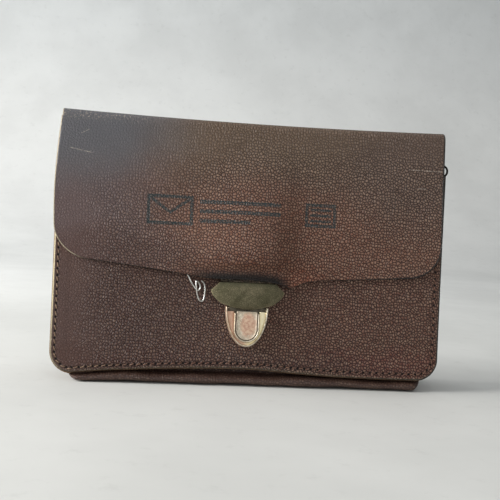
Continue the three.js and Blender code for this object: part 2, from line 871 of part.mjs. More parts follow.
function ringTab() {
  const innerRadius = ringWire / 2 + ringPlay;
  const outerRadius = innerRadius + ringTabThickness;
  const foot = ringTabBase - ringBarX;
  const legFace = foot + ringTabThickness * ringTabLegShare;
  const shape = new THREE.Shape();
  shape.moveTo(foot, -outerRadius - ringTabLeg);
  shape.lineTo(legFace, -outerRadius - ringTabLeg);
  shape.lineTo(legFace, -outerRadius);
  shape.lineTo(0, -outerRadius);
  shape.absarc(0, 0, outerRadius, -Math.PI / 2, Math.PI / 2, false);
  shape.lineTo(legFace, outerRadius);
  shape.lineTo(legFace, outerRadius + ringTabLeg);
  shape.lineTo(foot, outerRadius + ringTabLeg);
  shape.closePath();
  const hole = new THREE.Path();
  hole.absarc(0, 0, innerRadius, 0, 2 * Math.PI, true);
  shape.holes.push(hole);
  const geometry = new THREE.ExtrudeGeometry(shape, {
    depth: ringTabWidth,
    bevelEnabled: false,
    curveSegments: 8,
  });
  geometry.translate(0, 0, -ringTabWidth / 2);
  const made = mesh("ring_tab", geometry, 0x45342b, 0.7, 0);
  made.position.set(ringBarX, ringY, ringZ);
  return made;
}

// The bag, moved so that the middle of its foot is the origin
const front = new THREE.Group();
front.position.set(0, frontFootY, panelEdgeHeight);
front.rotation.x = -lean;
front.add(frontPanel(), lockPlate(), lockButton(), lockTongue(), lockTab(), wireClip());

const bag = new THREE.Group();
bag.add(backAndFlap(), gusset(), front, sideRing(), ringTab());
bag.updateMatrixWorld(true);
const reach = new THREE.Box3().setFromObject(bag, true);
const middle = reach.getCenter(new THREE.Vector3());
bag.position.set(-middle.x, -middle.y, -reach.min.z);

export default bag;
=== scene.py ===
import functools
import math

import bpy
import numpy as np
from mathutils import Matrix, Vector


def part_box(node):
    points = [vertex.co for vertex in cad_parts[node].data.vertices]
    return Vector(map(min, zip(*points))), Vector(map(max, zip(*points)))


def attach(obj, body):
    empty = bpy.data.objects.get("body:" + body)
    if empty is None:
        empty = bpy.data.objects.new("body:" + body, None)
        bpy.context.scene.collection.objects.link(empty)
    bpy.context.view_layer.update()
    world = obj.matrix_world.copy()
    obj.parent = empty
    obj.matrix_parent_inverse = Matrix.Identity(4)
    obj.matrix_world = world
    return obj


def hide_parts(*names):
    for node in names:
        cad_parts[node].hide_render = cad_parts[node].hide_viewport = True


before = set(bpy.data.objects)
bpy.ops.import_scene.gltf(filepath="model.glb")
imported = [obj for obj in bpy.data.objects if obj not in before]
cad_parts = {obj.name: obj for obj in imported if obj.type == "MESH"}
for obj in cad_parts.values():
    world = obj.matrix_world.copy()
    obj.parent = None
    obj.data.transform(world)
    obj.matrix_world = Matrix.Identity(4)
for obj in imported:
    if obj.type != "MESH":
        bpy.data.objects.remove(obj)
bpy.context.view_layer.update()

# A flat leather post bag: its hides, gusset, press lock, padded tab, wire and ring.
# Sizes are millimetres, in the bag's own place, until to_frame turns them into metres.
MM = 0.001

# Leather
HIDE = 2.2
GUSSET_HIDE = 1.6
TOUCH_GAP = 0.3
EDGE_ROUNDING = 0.75

# Body
HALF_WIDTH = 135.2
BAG_HEIGHT = 184.5
BOTTOM_DEPTH = 48
TOP_DEPTH = 31
PANEL_HEIGHT = 148
PANEL_FLARE = 2
PANEL_FLARE_POWER = 1.5
PANEL_CORNER = 15
EDGE_LEVEL = 7
EDGE_SLANT = 1.4
EDGE_BOW = 5.4

# Flap
FLAP_REACH = 105
FLAP_CORNER = 22
HEM_WAVE = 7
FLAP_LIFT = 9
SIDE_BULGE = 3
FRONT_FOLD = 5
BACK_FOLD = 8
TOP_SAG = 2
RIDGE_SAG = 0.5

# Gusset
FLANGE_WIDTH = 6
FLANGE_PROUD = 0.6
HAIRPIN = 1.5
SIDE_TUCK = {-1: 6.0, 1: 4.2}
ROLL_CORNER = 6
ROLL_FLAT = 0.5
ROLL_TOP = 7.6
REAR_RISE = 14
WALL_RISE = 12
STRAIGHT_SHARE = 0.14
TOP_INSET = 1
SIDE_BEND = 75
FOOT_BEND = 180

# Seams
STITCH_PITCH = 4.7
STITCH_INSET = 3.6
STITCH_DRIFT = 0.7
STITCH_LENGTH = 3.1
STITCH_SLANT = 0.42
STITCH_RISE = 0.52
THREAD_SINK = 0.12
THREAD_SIDES = 8
FRONT_SEAM_DROP = 4
BACK_SEAM_DROP = 8
THREAD_RADIUS = 0.31
GROOVE_DEPTH = 0.28
GROOVE_WIDTH = 0.9
NO_SEAM = (0, 50)

# Mesh steps
GRID_STEP = 1.35
BACK_STEP = 3.2
BACK_RISE = 160
HEM_STEP = 1.3
FOLD_STEPS = 13

# Worked-out places
FRONT_FOOT = -BOTTOM_DEPTH / 2
BACK_FACE = BOTTOM_DEPTH / 2
FLAP_SEAT = TOUCH_GAP + HIDE / 2
LEAN = math.atan2(BOTTOM_DEPTH - TOP_DEPTH + TOUCH_GAP + HIDE, BAG_HEIGHT - EDGE_LEVEL)
LEAN_SIN = math.sin(LEAN)
LEAN_COS = math.cos(LEAN)
HEM_LEVEL = (BAG_HEIGHT - EDGE_LEVEL) / LEAN_COS - FLAP_REACH
BEND_START = HALF_WIDTH - PANEL_CORNER

# The bag's own place against the frame, from the boxes of two hides
panel_low, panel_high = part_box("front_panel")
SHIFT = np.array([
    (panel_low.x + panel_high.x) / 2 / MM,
    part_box("back_and_flap")[1].y / MM - BACK_FACE,
    0.0,
])

# Edge of the panels along the width: shares of the half width and of the bow
EDGE_BOW_ROWS = [(-1, 0), (-0.7, 0.5), (-0.35, 0.9), (0, 1), (0.25, 0.56), (0.5, 0.22), (1, 0)]

# Hem of the flap: shares of the half width and of the hem's wave
HEM_ROWS = [
    (-1, 0.5), (-0.72, 0.14), (-0.43, -0.5), (-0.22, -0.98), (-0.12, -0.98), (-0.02, -0.98), (0.08, -1.08),
    (0.155, -1.36), (0.2, -1.6), (0.25, -1.2), (0.32, -0.8), (0.5, -0.54), (0.75, -0.2), (1, 0.1),
]

# Lift of the flap over the tab: across the width, and from the hem up to the fold
LIFT_ACROSS_ROWS = [
    (-1, 0), (-0.6, 0.04), (-0.42, 0.2), (-0.3, 0.36), (-0.18, 0.74), (-0.05, 1), (0.08, 0.93),
    (0.16, 0.6), (0.22, 0.2), (0.32, 0.07), (0.6, 0), (1, 0),
]
LIFT_UP_ROWS = [
    (0, 0.46), (0.014, 0.57), (0.034, 0.78), (0.056, 0.94), (0.085, 1.02), (0.14, 1.03), (0.22, 0.92),
    (0.33, 0.7), (0.5, 0.4), (0.75, 0.1), (1, 0),
]

# Waves of the hides: height, wavelengths across and along, and phase
PANEL_RIPPLE = [(0.16, 96, 170, 0.4), (0.12, -58, 71, 1.9), (0.07, 33, -47, 4.0)]
FLAP_RIPPLE = [(0.34, 150, 210, 2.2), (0.22, -84, 96, 0.3), (0.12, 52, -63, 3.1), (0.07, 31, 38, 5.2)]
GUSSET_RIPPLE = [(0.3, 73, 41, 0.8), (0.2, -39, 30, 2.9), (0.1, 21, -25, 4.4)]
PAD_RIPPLE = [(1, 17, 9, 0.3), (0.8, -11, 13, 2.0), (0.5, 6.5, -7.5, 4.1)]

# Distances from an edge where a grid needs lines for the rounding and the seam
EDGE_STEPS = [0, 0.08, 0.2, 0.38, 0.6, 0.9, 1.3, 1.7, 2.1, 2.5, 2.8, 3.1, 3.4, 3.8, 4.4, 5.2, 6.2]
FLAP_SIDE_STEPS = [0, 0.08, 0.2, 0.38, 0.6, 0.9, 1.4, 2.2, 3.2]
FLAP_HEM_STEPS = [0, 0.08, 0.2, 0.38, 0.6, 0.9, 1.3, 1.8, 2.4, 3.1]


# Numbers and curves
def eased(start, rise, first, last, t):
    """A cubic from start up by the rise, whose slopes at its ends are first and last."""
    return start + rise * t + t * (1 - t) * ((first - rise) * (1 - t) + (rise - last) * t)


def smooth_table(rows):
    """A smooth curve through a table's rows, level at both ends."""
    xs, ys = np.array(rows, float).T
    slopes = np.zeros(len(xs))
    slopes[1:-1] = (ys[2:] - ys[:-2]) / (xs[2:] - xs[:-2])

    def at(where):
        where = np.clip(where, xs[0], xs[-1])
        i = np.clip(np.searchsorted(xs, where, side="right") - 1, 0, len(xs) - 2)
        span = xs[i + 1] - xs[i]
        return eased(ys[i], ys[i + 1] - ys[i], slopes[i] * span, slopes[i + 1] * span, (where - xs[i]) / span)
    return at


edge_bow = smooth_table(EDGE_BOW_ROWS)
hem_wave = smooth_table(HEM_ROWS)
lift_across = smooth_table(LIFT_ACROSS_ROWS)
lift_up = smooth_table(LIFT_UP_ROWS)


def smooth_step(low, high, value):
    t = np.clip((value - low) / (high - low), 0, 1)
    return t * t * (3 - 2 * t)


def round_rise(distance, radius):
    reach = np.clip(distance, 0, radius)
    return radius - np.sqrt(radius * radius - reach * reach)


def bell(x, y, centre, reach):
    """1 at a centre, falling away smoothly over its two reaches."""
    return np.exp(-((x - centre[0]) / reach[0]) ** 2 - ((y - centre[1]) / reach[1]) ** 2)


def fine_from_edge(length, near, step):
    """Distances from 0 to length: the near ones first, then even steps."""
    near = [value for value in near if value < length]
    rest = length - near[-1]
    count = max(1, round(rest / step))
    return np.array(near + [near[-1] + rest * (i + 1) / count for i in range(count)])


def fine_at_both_ends(half, near, step):
    """Places from -half to half, close together at both ends."""
    side = fine_from_edge(half, near, step)
    return np.concatenate([side - half, (half - side[:-1])[::-1]])


def ripple(across, along, rows):
    total = 0
    for height, wave_across, wave_along, phase in rows:
        total = total + height * np.sin(2 * math.pi * (across / wave_across + along / wave_along) + phase)
    return total


def spread(x, y, z):
    """Three coordinates, brought to one shape, as points."""
    return np.stack(np.broadcast_arrays(x, y, z), axis=-1).astype(float)


def on_front(x, out, up):
    """Places on the leaning front: across, out from the panel's face, and up along it."""
    return spread(
        x,
        FRONT_FOOT + up * LEAN_SIN - out * LEAN_COS,
        EDGE_LEVEL + up * LEAN_COS + out * LEAN_SIN,
    )


def on_back(x, out, up):
    return spread(x, BACK_FACE + out, EDGE_LEVEL + up)


def to_frame(points):
    return (np.asarray(points, float) + SHIFT) * MM


def run_along(points):
    """The distance of each point from the first one, along the line."""
    return np.concatenate([[0], np.cumsum(np.linalg.norm(np.diff(points, axis=0), axis=1))])


def resampled(points, count, closed=False):
    """Evenly spaced points on a line. A closed one doesn't repeat its first point."""
    points = np.asarray(points, float)
    if closed:
        points = np.concatenate([points, points[:1]])
    run = run_along(points)
    at = np.linspace(0, run[-1], count, endpoint=not closed)
    return np.stack([np.interp(at, run, column) for column in points.T], axis=1)


def smooth_line(points, steps):
    """A smooth line through the points, paced by the square roots of their gaps."""
    points = np.asarray(points, float)
    points = np.concatenate([[2 * points[0] - points[1]], points, [2 * points[-1] - points[-2]]])
    rises = np.diff(points, axis=0)
    spans = np.linalg.norm(rises, axis=1, keepdims=True) ** 0.5
    slopes = rises / spans
    slopes = slopes[:-1] + slopes[1:] - (points[2:] - points[:-2]) / (spans[:-1] + spans[1:])
    t = np.linspace(0, 1, steps, endpoint=False)[:, None]
    line = []
    for i in range(1, len(points) - 2):
        line.append(eased(points[i], rises[i], slopes[i - 1] * spans[i], slopes[i] * spans[i], t))
    return np.concatenate([*line, points[-2:-1]])


def arc(x, y, radius, start, end, count):
    """Points on an arc in a plane, between two angles given in half turns."""
    turns = np.linspace(start, end, count) * math.pi
    return np.stack([x + radius * np.cos(turns), y + radius * np.sin(turns)], axis=1)


def least(*distances):
    """The nearest of several distances, place by place."""
    return functools.reduce(np.minimum, distances)


# Meshes
def facing_out(vertices, faces):
    """The faces, all turned round if the closed mesh is inside out."""
    corners = np.asarray(vertices)
    triangles = np.array([(face[0], face[i], face[i + 1]) for face in faces for i in range(1, len(face) - 1)])
    a, b, c = (corners[triangles[:, k]] for k in range(3))
    volume = np.einsum("ij,ij->i", a, np.cross(b, c)).sum()
    return faces if volume > 0 else [tuple(reversed(face)) for face in faces]


def new_object(name, vertices, faces, material, closed=True):
    if closed:
        faces = facing_out(vertices, faces)
    data = bpy.data.meshes.new(name)
    data.from_pydata([tuple(vertex) for vertex in vertices], [], faces)
    data.update()
    data.polygons.foreach_set("use_smooth", np.ones(len(data.polygons), bool))
    data.materials.append(material)
    made = bpy.data.objects.new(name, data)
    bpy.context.scene.collection.objects.link(made)
    return made


def add_vector(made, name, values):
    attribute = made.data.attributes.new(name, "FLOAT_VECTOR", "POINT")
    attribute.data.foreach_set("vector", np.asarray(values, np.float32).ravel())


def grid_faces(ids, wrap_rows=False, wrap_columns=True):
    """Faces between the neighbours of a grid of vertex numbers."""
    if wrap_rows:
        ids = np.concatenate([ids, ids[:1]])
    if wrap_columns:
        ids = np.concatenate([ids, ids[:, :1]], axis=1)
    corners = np.stack([ids[:-1, :-1], ids[:-1, 1:], ids[1:, 1:], ids[1:, :-1]], axis=-1)
    return [tuple(face) for face in corners.reshape(-1, 4).tolist()]


def bar_faces(rows, columns):
    """Faces of a bar whose sections are closed rings, with both ends closed."""
    ids = np.arange(rows * columns).reshape(rows, columns)
    return grid_faces(ids) + [tuple(ids[0, ::-1].tolist()), tuple(ids[-1].tolist())]


def shell_faces(rows, columns):
    """Faces of a closed sheet: the grid of one side, that of the other, and the rim between them."""
    count = rows * columns
    ids = np.arange(count).reshape(rows, columns)
    ring = np.concatenate([ids[0], ids[1:, -1], ids[-1, -2::-1], ids[-2:0:-1, 0]])
    under = [face[::-1] for face in grid_faces(ids + count, wrap_columns=False)]
    return grid_faces(ids, wrap_columns=False) + under + grid_faces(np.stack([ring + count, ring]))


def sheet_normals(grid):
    along = np.gradient(grid, axis=0)
    across = np.gradient(grid, axis=1)
    along[1:-1] *= 2
    across[:, 1:-1] *= 2
    normals = np.cross(along, across)
    return normals / np.linalg.norm(normals, axis=2, keepdims=True)


def edge_share(distance):
    """The share of a hide's thickness that is left so near its rounded edge."""
    into = 1 - np.clip(distance / EDGE_ROUNDING, 0, 1)
    return 0.5 + 0.5 * np.sqrt(1 - into * into)


def thick_sheet(name, middle, thickness, distance, place, material, outward=1, seam=NO_SEAM, relief=0.0):
    """A closed sheet round its middle grid, whose outer side takes the relief.

    Its attribute place holds the hide's flat coordinates and the side, 0 outer and 1 inner.
    Its attribute seam holds the run along the seam, the offset from it and the distance from the edge.
    """
    normals = sheet_normals(middle) * outward
    half = (thickness / 2 * edge_share(distance))[..., None]
    outer = middle + normals * (half + np.broadcast_to(relief, distance.shape)[..., None])
    inner = middle - normals * half
    vertices = to_frame(np.concatenate([outer.reshape(-1, 3), inner.reshape(-1, 3)]))
    made = new_object(name, vertices, shell_faces(*distance.shape), material)
    add_vector(made, "place", [spread(*place, side) for side in (0, 1)])
    add_vector(made, "seam", [spread(*seam, distance)] * 2)
    return made


TUBE_CAP = np.array([0.0, 0.5, 0.87])
TUBE_TIP = 0.05


def tube_parts(points, radius, sides, closed=False):
    """Vertices and faces of a round tube along points, with rounded ends unless it is closed."""
    points = np.asarray(points, float)
    radii = np.broadcast_to(radius, len(points))
    if closed:
        tangents = np.roll(points, -1, axis=0) - np.roll(points, 1, axis=0)
    else:
        tangents = np.gradient(points, axis=0)
    tangents /= np.linalg.norm(tangents, axis=1, keepdims=True)
    if not closed:
        reach = np.sqrt(1 - TUBE_CAP ** 2)[:, None]
        swell = np.maximum(TUBE_CAP, TUBE_TIP)
        ends = len(TUBE_CAP)
        before = points[0] - tangents[0] * radii[0] * reach
        after = points[-1] + tangents[-1] * radii[-1] * reach[::-1]
        points = np.concatenate([before, points, after])
        radii = np.concatenate([radii[0] * swell, radii, radii[-1] * swell[::-1]])
        tangents = np.concatenate([[tangents[0]] * ends, tangents, [tangents[-1]] * ends])
    normal = np.cross(tangents[0], [0, 0, 1])
    if np.linalg.norm(normal) < 0.2:
        normal = np.cross(tangents[0], [0, 1, 0])
    angles = 2 * math.pi * np.arange(sides)[:, None] / sides
    rings = []
    for point, tangent, size in zip(points, tangents, radii):
        normal = normal - tangent * np.dot(normal, tangent)
        normal /= np.linalg.norm(normal)
        side = np.cross(tangent, normal)
        rings.append(point + size * (np.cos(angles) * normal + np.sin(angles) * side))
    ids = np.arange(len(points) * sides).reshape(-1, sides)
    faces = grid_faces(ids, wrap_rows=True) if closed else bar_faces(*ids.shape)
    return np.concatenate(rings), faces


def joined(parts):
    """Several meshes' vertices and faces as one."""
    vertices, faces = [], []
    for some, own in parts:
        start = len(vertices)
        vertices += list(some)
        faces += [tuple(start + i for i in face) for face in own]
    return vertices, faces


# Outline of the panels and their seam
def panel_half(up):
    return HALF_WIDTH + PANEL_FLARE * np.clip(up / PANEL_HEIGHT, 0, 1) ** PANEL_FLARE_POWER


def panel_edge(x):
    return EDGE_SLANT * (x / HALF_WIDTH) + EDGE_BOW * edge_bow(x / HALF_WIDTH)


def corner_distance(flat, up, low, half, radius):
    """How far a place is inside an outline with straight sides and two rounded corners at its foot."""
    side = half - np.abs(flat)
    below = up - low
    into_x = np.clip(radius - side, 0, None)
    into_z = np.clip(radius - below, 0, None)
    in_corner = (into_x > 0) & (into_z > 0)
    return np.where(in_corner, radius - np.hypot(into_x, into_z), np.minimum(side, below))


def seam_inset(x):
    """The seam's distance from the edge, a little more at the right than at the left."""
    return STITCH_INSET + STITCH_DRIFT * np.clip(x / BEND_START, -1, 1)


def seam_path(top):
    """The seam's line along both sides and the foot, as places across and up, and the run along it."""
    step = 0.25
    foot = [(x, panel_edge(x) + seam_inset(x)) for x in np.arange(-BEND_START, BEND_START, step)]
    path = []
    for side in (-1, 1):
        inset = seam_inset(side * BEND_START)
        reach = PANEL_CORNER - inset
        centre = panel_edge(side * HALF_WIDTH) + PANEL_CORNER
        ups = np.arange(top, centre, -step) if side < 0 else np.arange(centre, top, step)[::-1]
        straight = np.stack([panel_half(ups) - inset, ups], axis=1)
        line = np.concatenate([straight, arc(BEND_START, centre, reach, 0, -0.5, 90)]) * (side, 1)
        path += [line, foot] if side < 0 else [line[::-1]]
    path = np.concatenate(path)
    return path, run_along(path)


def seam_marks(flat, up, distance, path, run):
    """For each place: the run of the nearest point of the seam, and the offset from the seam."""
    near, batch = 8, 2000
    nearest = np.full(flat.shape, float(NO_SEAM[0]))
    offset = np.full(flat.shape, float(NO_SEAM[1]))
    rows, columns = np.nonzero(distance < near)
    for start in range(0, len(rows), batch):
        at = rows[start:start + batch], columns[start:start + batch]
        apart = (flat[at][:, None] - path[:, 0]) ** 2 + (up[at][:, None] - path[:, 1]) ** 2
        nearest[at] = run[apart.argmin(axis=1)]
        offset[at] = distance[at] - seam_inset(flat[at])
    return nearest, offset


def seam_relief(offset):
    return -GROOVE_DEPTH * np.exp(-(offset / GROOVE_WIDTH) ** 2)


def stitches(path, run, place_at):
    """Short slanted threads from hole to hole. place_at gives points from across, out and up."""
    t = np.linspace(-1, 1, 9)
    swell = THREAD_RADIUS * (1 - 0.25 * t ** 4)

    def place(at):
        return np.stack([np.interp(at, run, column) for column in path.T])
    parts = []
    for k in range(int(run[-1] // STITCH_PITCH)):
        slack = 1 + 0.12 * math.sin(k * 2.4)
        at = (k + 0.5) * STITCH_PITCH + t * STITCH_LENGTH / 2
        x, up = place(at)
        ahead_x, ahead_up = place(at + 0.5) - place(at - 0.5)
        aside = t * STITCH_SLANT * slack / np.hypot(ahead_x, ahead_up)
        out = STITCH_RISE * (1 - abs(t) ** 3.2) * slack - 0.45 * abs(t) ** 6 - THREAD_SINK
        points = place_at(x - ahead_up * aside, out, up + ahead_x * aside)
        parts.append(tube_parts(to_frame(points), swell * MM, THREAD_SIDES))
    return joined(parts)


# Front panel
FLANGE_MARK = 9.5
FLANGE_STEP = 0.22
PANEL_DENT = ((78, 17), (46, 9), -0.5)
FINE_RISE = 86


def panel_relief(flat, up, distance, offset):
    """Groove of the seam, the edge of the flange behind as a faint step, and gentle waves."""
    away = smooth_step(12, 40, distance)
    step = FLANGE_STEP * smooth_step(FLANGE_MARK + 1.6, FLANGE_MARK - 1.6, distance)
    *dent, depth = PANEL_DENT
    waves = ripple(flat, up, PANEL_RIPPLE) - 0.1
    return seam_relief(offset) + step - 0.1 + away * waves + depth * bell(flat, up, *dent)


def front_hide(material):
    """The front panel, finer at its foot than where the flap hides it, and its threads."""
    x = fine_at_both_ends(HALF_WIDTH, EDGE_STEPS, GRID_STEP)
    shown = fine_from_edge(FINE_RISE, EDGE_STEPS, GRID_STEP) / PANEL_HEIGHT
    hidden = np.linspace(shown[-1], 1, 14)[1:-1]
    top_steps = 1 - np.array([1.3, 0.6, 0.2, 0]) / PANEL_HEIGHT
    shares = np.concatenate([shown, hidden, top_steps])
    flat = np.broadcast_to(x, (len(shares), len(x)))
    edge = panel_edge(flat)
    low = edge + round_rise(np.abs(flat) - BEND_START, PANEL_CORNER)
    up = low + (PANEL_HEIGHT - low) * shares[:, None]
    wide = flat / HALF_WIDTH * panel_half(up)
    distance = least(corner_distance(flat, up, edge, HALF_WIDTH, PANEL_CORNER), PANEL_HEIGHT - up)
    path, run = seam_path(PANEL_HEIGHT - FRONT_SEAM_DROP)
    seam = seam_marks(wide, up, distance, path, run)
    relief = panel_relief(flat, up, distance, seam[1]) * smooth_step(0, 1.2, distance)
    middle = on_front(wide, -HIDE / 2, up)
    made = thick_sheet("front_hide", middle, HIDE, distance, (wide, up), material, -1, seam, relief)
    return made, stitches(path, run, on_front)


# Back panel, top and flap
CREASE_START = 62
CREASE_X = 27.5


def flap_half(share, up):
    shape = np.sin(math.pi * np.clip((up - HEM_LEVEL) / FLAP_REACH, 0, 1))
    return HALF_WIDTH + np.where(share < 0, SIDE_BULGE * shape, 0)


def flap_out(share, up):
    height = np.clip((up - HEM_LEVEL) / FLAP_REACH, 0, 1)
    return FLAP_SEAT + FLAP_LIFT * lift_across(share) * lift_up(height)


def flap_relief(flat, up):
    """Gentle waves, and the crease that runs up from where the flap is pinched to the right of the tab."""
    along = up - CREASE_START
    away = flat - (CREASE_X - 0.2 * along + 0.0012 * along * along)
    fade = smooth_step(64, 6, along) * smooth_step(-2, 4, along)
    crease = -0.75 * np.exp(-(away / (2.6 + 0.07 * np.clip(along, 0, None))) ** 2)
    bead = 0.3 * np.exp(-((away - 6.5) / 4.5) ** 2)
    return ripple(flat, up, FLAP_RIPPLE) + (crease + bead) * fade


def folded(x, centre, radius, start, end):
    """Rows of a fold round its centre line, from one angle to another above the front."""
    angles = np.linspace(start, end, FOLD_STEPS)[:, None]
    return spread(x, centre[:, 1] - radius * np.cos(angles), centre[:, 2] + radius * np.sin(angles))


def flap_hide(material):
    """One hide from the back's foot up, over the top's two folds and down to the hem, and its threads."""
    x = fine_at_both_ends(HALF_WIDTH, FLAP_SIDE_STEPS, GRID_STEP)
    share = x / HALF_WIDTH
    crown = BAG_HEIGHT - HIDE / 2 - TOP_SAG * (1 - share * share)
    meet = (crown - EDGE_LEVEL - FLAP_SEAT * LEAN_SIN) / LEAN_COS
    fold_up = meet - FRONT_FOLD * math.tan(math.pi / 4 - LEAN / 2)
    front_centre = on_front(x, FLAP_SEAT - FRONT_FOLD, fold_up)

    edge = panel_edge(x)
    low = edge + round_rise(np.abs(x) - BEND_START, PANEL_CORNER)
    back_steps = fine_from_edge(BACK_RISE, EDGE_STEPS, BACK_STEP) / BACK_RISE
    back_up = low + (crown - BACK_FOLD - EDGE_LEVEL - low) * back_steps[:-1, None]
    wide = np.broadcast_to(x, back_up.shape)
    back = on_back(wide, -HIDE / 2, back_up)

    back_centre = on_back(x, -HIDE / 2 - BACK_FOLD, crown - BACK_FOLD - EDGE_LEVEL)
    back_fold = folded(x, back_centre, BACK_FOLD, math.pi, math.pi / 2)
    front_fold = folded(x, front_centre, FRONT_FOLD, math.pi / 2, LEAN)[:-1]
    between = np.linspace(0, 1, 9)[1:-1, None, None]
    ridge = back_fold[-1] + (front_fold[0] - back_fold[-1]) * between
    ridge[..., 2] -= RIDGE_SAG * np.sin(math.pi * between[..., 0])

    drop = fine_from_edge(FLAP_REACH, FLAP_HEM_STEPS, HEM_STEP)[::-1]
    hem_line = HEM_LEVEL + HEM_WAVE * hem_wave(share)
    hem = hem_line + round_rise(np.abs(x) - (HALF_WIDTH - FLAP_CORNER), FLAP_CORNER)
    flap_up = hem + (fold_up - hem) * (drop / FLAP_REACH)[:, None]
    flap_wide = share * flap_half(share, flap_up)
    flap = on_front(flap_wide, flap_out(share, flap_up), flap_up)
    middle = np.concatenate([back, back_fold, ridge, front_fold, flap])

    # The hide's own height goes on over the top, so that its grain has no break there
    steps = np.linalg.norm(np.diff(middle, axis=0), axis=2)
    first, last = len(back), len(middle) - len(flap)
    run = np.zeros(middle.shape[:2])
    run[last:] = flap_up
    for i in range(last - 1, -1, -1):
        run[i] = run[i + 1] + steps[i]
    flat = np.broadcast_to(x, run.shape)

    back_distance = corner_distance(wide, back_up, edge, HALF_WIDTH, PANEL_CORNER)
    distance = HALF_WIDTH - np.abs(flat)
    distance[:first] = np.minimum(distance[:first], back_distance)
    distance[last:] = np.minimum(
        distance[last:], corner_distance(x, flap_up, hem_line, HALF_WIDTH, FLAP_CORNER))
    distance = np.clip(distance, 0, None)

    path, seam_run = seam_path(PANEL_HEIGHT + REAR_RISE - BACK_SEAM_DROP)
    furthest = [side * (HALF_WIDTH - seam_inset(side * HALF_WIDTH)) for side in (-1, 1)]
    path[:, 0] = np.clip(path[:, 0], *furthest)
    seam = [np.full(run.shape, float(value)) for value in NO_SEAM]
    seam[0][:first], seam[1][:first] = seam_marks(wide, back_up, back_distance, path, seam_run)

    relief = np.zeros(run.shape)
    away = smooth_step(10, 40, back_distance)
    relief[:first] = seam_relief(seam[1][:first]) + away * (ripple(wide, back_up, PANEL_RIPPLE) - 0.35)
    relief[last:] = flap_relief(flap_wide, flap_up) * smooth_step(0, 12, fold_up - flap_up)
    relief *= smooth_step(0, 1.2, distance)
    made = thick_sheet("flap_hide", middle, HIDE, distance, (flat, run), material, 1, seam, relief)
    return made, stitches(path, seam_run, on_back)


# Gusset: a U-shaped strip, as sections at stations down a wall, round a corner and along half the foot
WALL_STEPS = 46
CORNER_STEPS = 22
FOOT_STEPS = 80
ROLL_STEPS = 24
FLANGE_INSETS = [-FLANGE_PROUD, -FLANGE_PROUD + 0.25, 0, 1.5, 3, 4.5]
FLANGE_BACK = HIDE + TOUCH_GAP + GUSSET_HIDE / 2
FLOOR_Z = GUSSET_HIDE / 2

# Pull of the wall's curve at its start and end, as shares of its fall and run
SIDE_PULL = np.array([0.12, 0.4, 0.7])
FOOT_PULL = np.array([0.6, 0.0, 0.35])


def gusset_stations():
    half = [("wall", i / WALL_STEPS) for i in range(WALL_STEPS)]
    half += [("corner", i / CORNER_STEPS) for i in range(CORNER_STEPS)]
    half += [("foot", i / FOOT_STEPS) for i in range(FOOT_STEPS + 1)]
    return [(-1, *row) for row in half] + [(1, *row) for row in half[-2::-1]]


def outline_point(side, part, along, height):
    """A place on the panels' outline, across and up, and the direction out of the outline there."""
    if part == "wall":
        return side * panel_half(height), height, side, 0
    if part == "foot":
        x = side * (1 - along) * BEND_START
        return x, panel_edge(x), 0, -1
    angle = math.pi / 2 * (1 - along)
    sine, cosine = math.sin(angle), math.cos(angle)
    x = side * (BEND_START + PANEL_CORNER * sine)
    return x, panel_edge(side * HALF_WIDTH) + PANEL_CORNER * (1 - cosine), side * sine, -cosine


def wall_half(side, fall):
    below = max(0, (fall - STRAIGHT_SHARE) / (1 - STRAIGHT_SHARE))
    return HALF_WIDTH - FLANGE_WIDTH - HAIRPIN - SIDE_TUCK[side] * math.sin(below * math.pi / 2)


def wall_point(side, part, along, root_z, rise):
    """Where the wall is furthest in, across and above the floor."""
    corner_start = wall_half(side, 1) - ROLL_CORNER
    if part == "wall":
        lifted = root_z + rise * (1 - along) ** 2
        return side * wall_half(side, along), max(lifted, FLOOR_Z + ROLL_CORNER)
    if part == "foot":
        return side * (1 - along) * corner_start, FLOOR_Z
    angle = math.pi / 2 * (1 - along)
    x = corner_start + ROLL_CORNER * math.sin(angle)
    return side * x, FLOOR_Z + ROLL_CORNER * (1 - math.cos(angle))


def wall_curve(start, knee, pull, t):
    early = 3 * (1 - t) ** 2 * t
    late = 3 * (1 - t) * t * t
    fall = early * pull[0] + late + t ** 3
    run = early * pull[1] + late * pull[2] + t ** 3
    return start + (knee - start) * spread(fall, run, fall)


def foot_roll(x, start, knee):
    """The foot's front: up behind the flange, then out again as a roll that rests on the floor."""
    edge = EDGE_LEVEL + panel_edge(x)
    top = min(ROLL_TOP, edge - FLANGE_PROUD - 1.0)
    gap = edge - top
    back, level = np.array([
        (0, start[2]), (1.4, start[2] - 2.4), (2.6, top + 0.62 * gap), (2.4, top + 0.1 * gap),
        (-1.6, top - 0.3), (-6.5, 0.74 * top), (-8.3, 0.46 * top), (-7.2, 0.18 * top + 0.8),
        (-3.6, knee[2] + 0.3), (knee[1] - start[1], knee[2]),
    ]).T
    points = spread(np.linspace(start[0], knee[0], len(back)), start[1] + back, level)
    return resampled(smooth_line(points, 8), ROLL_STEPS + 1)


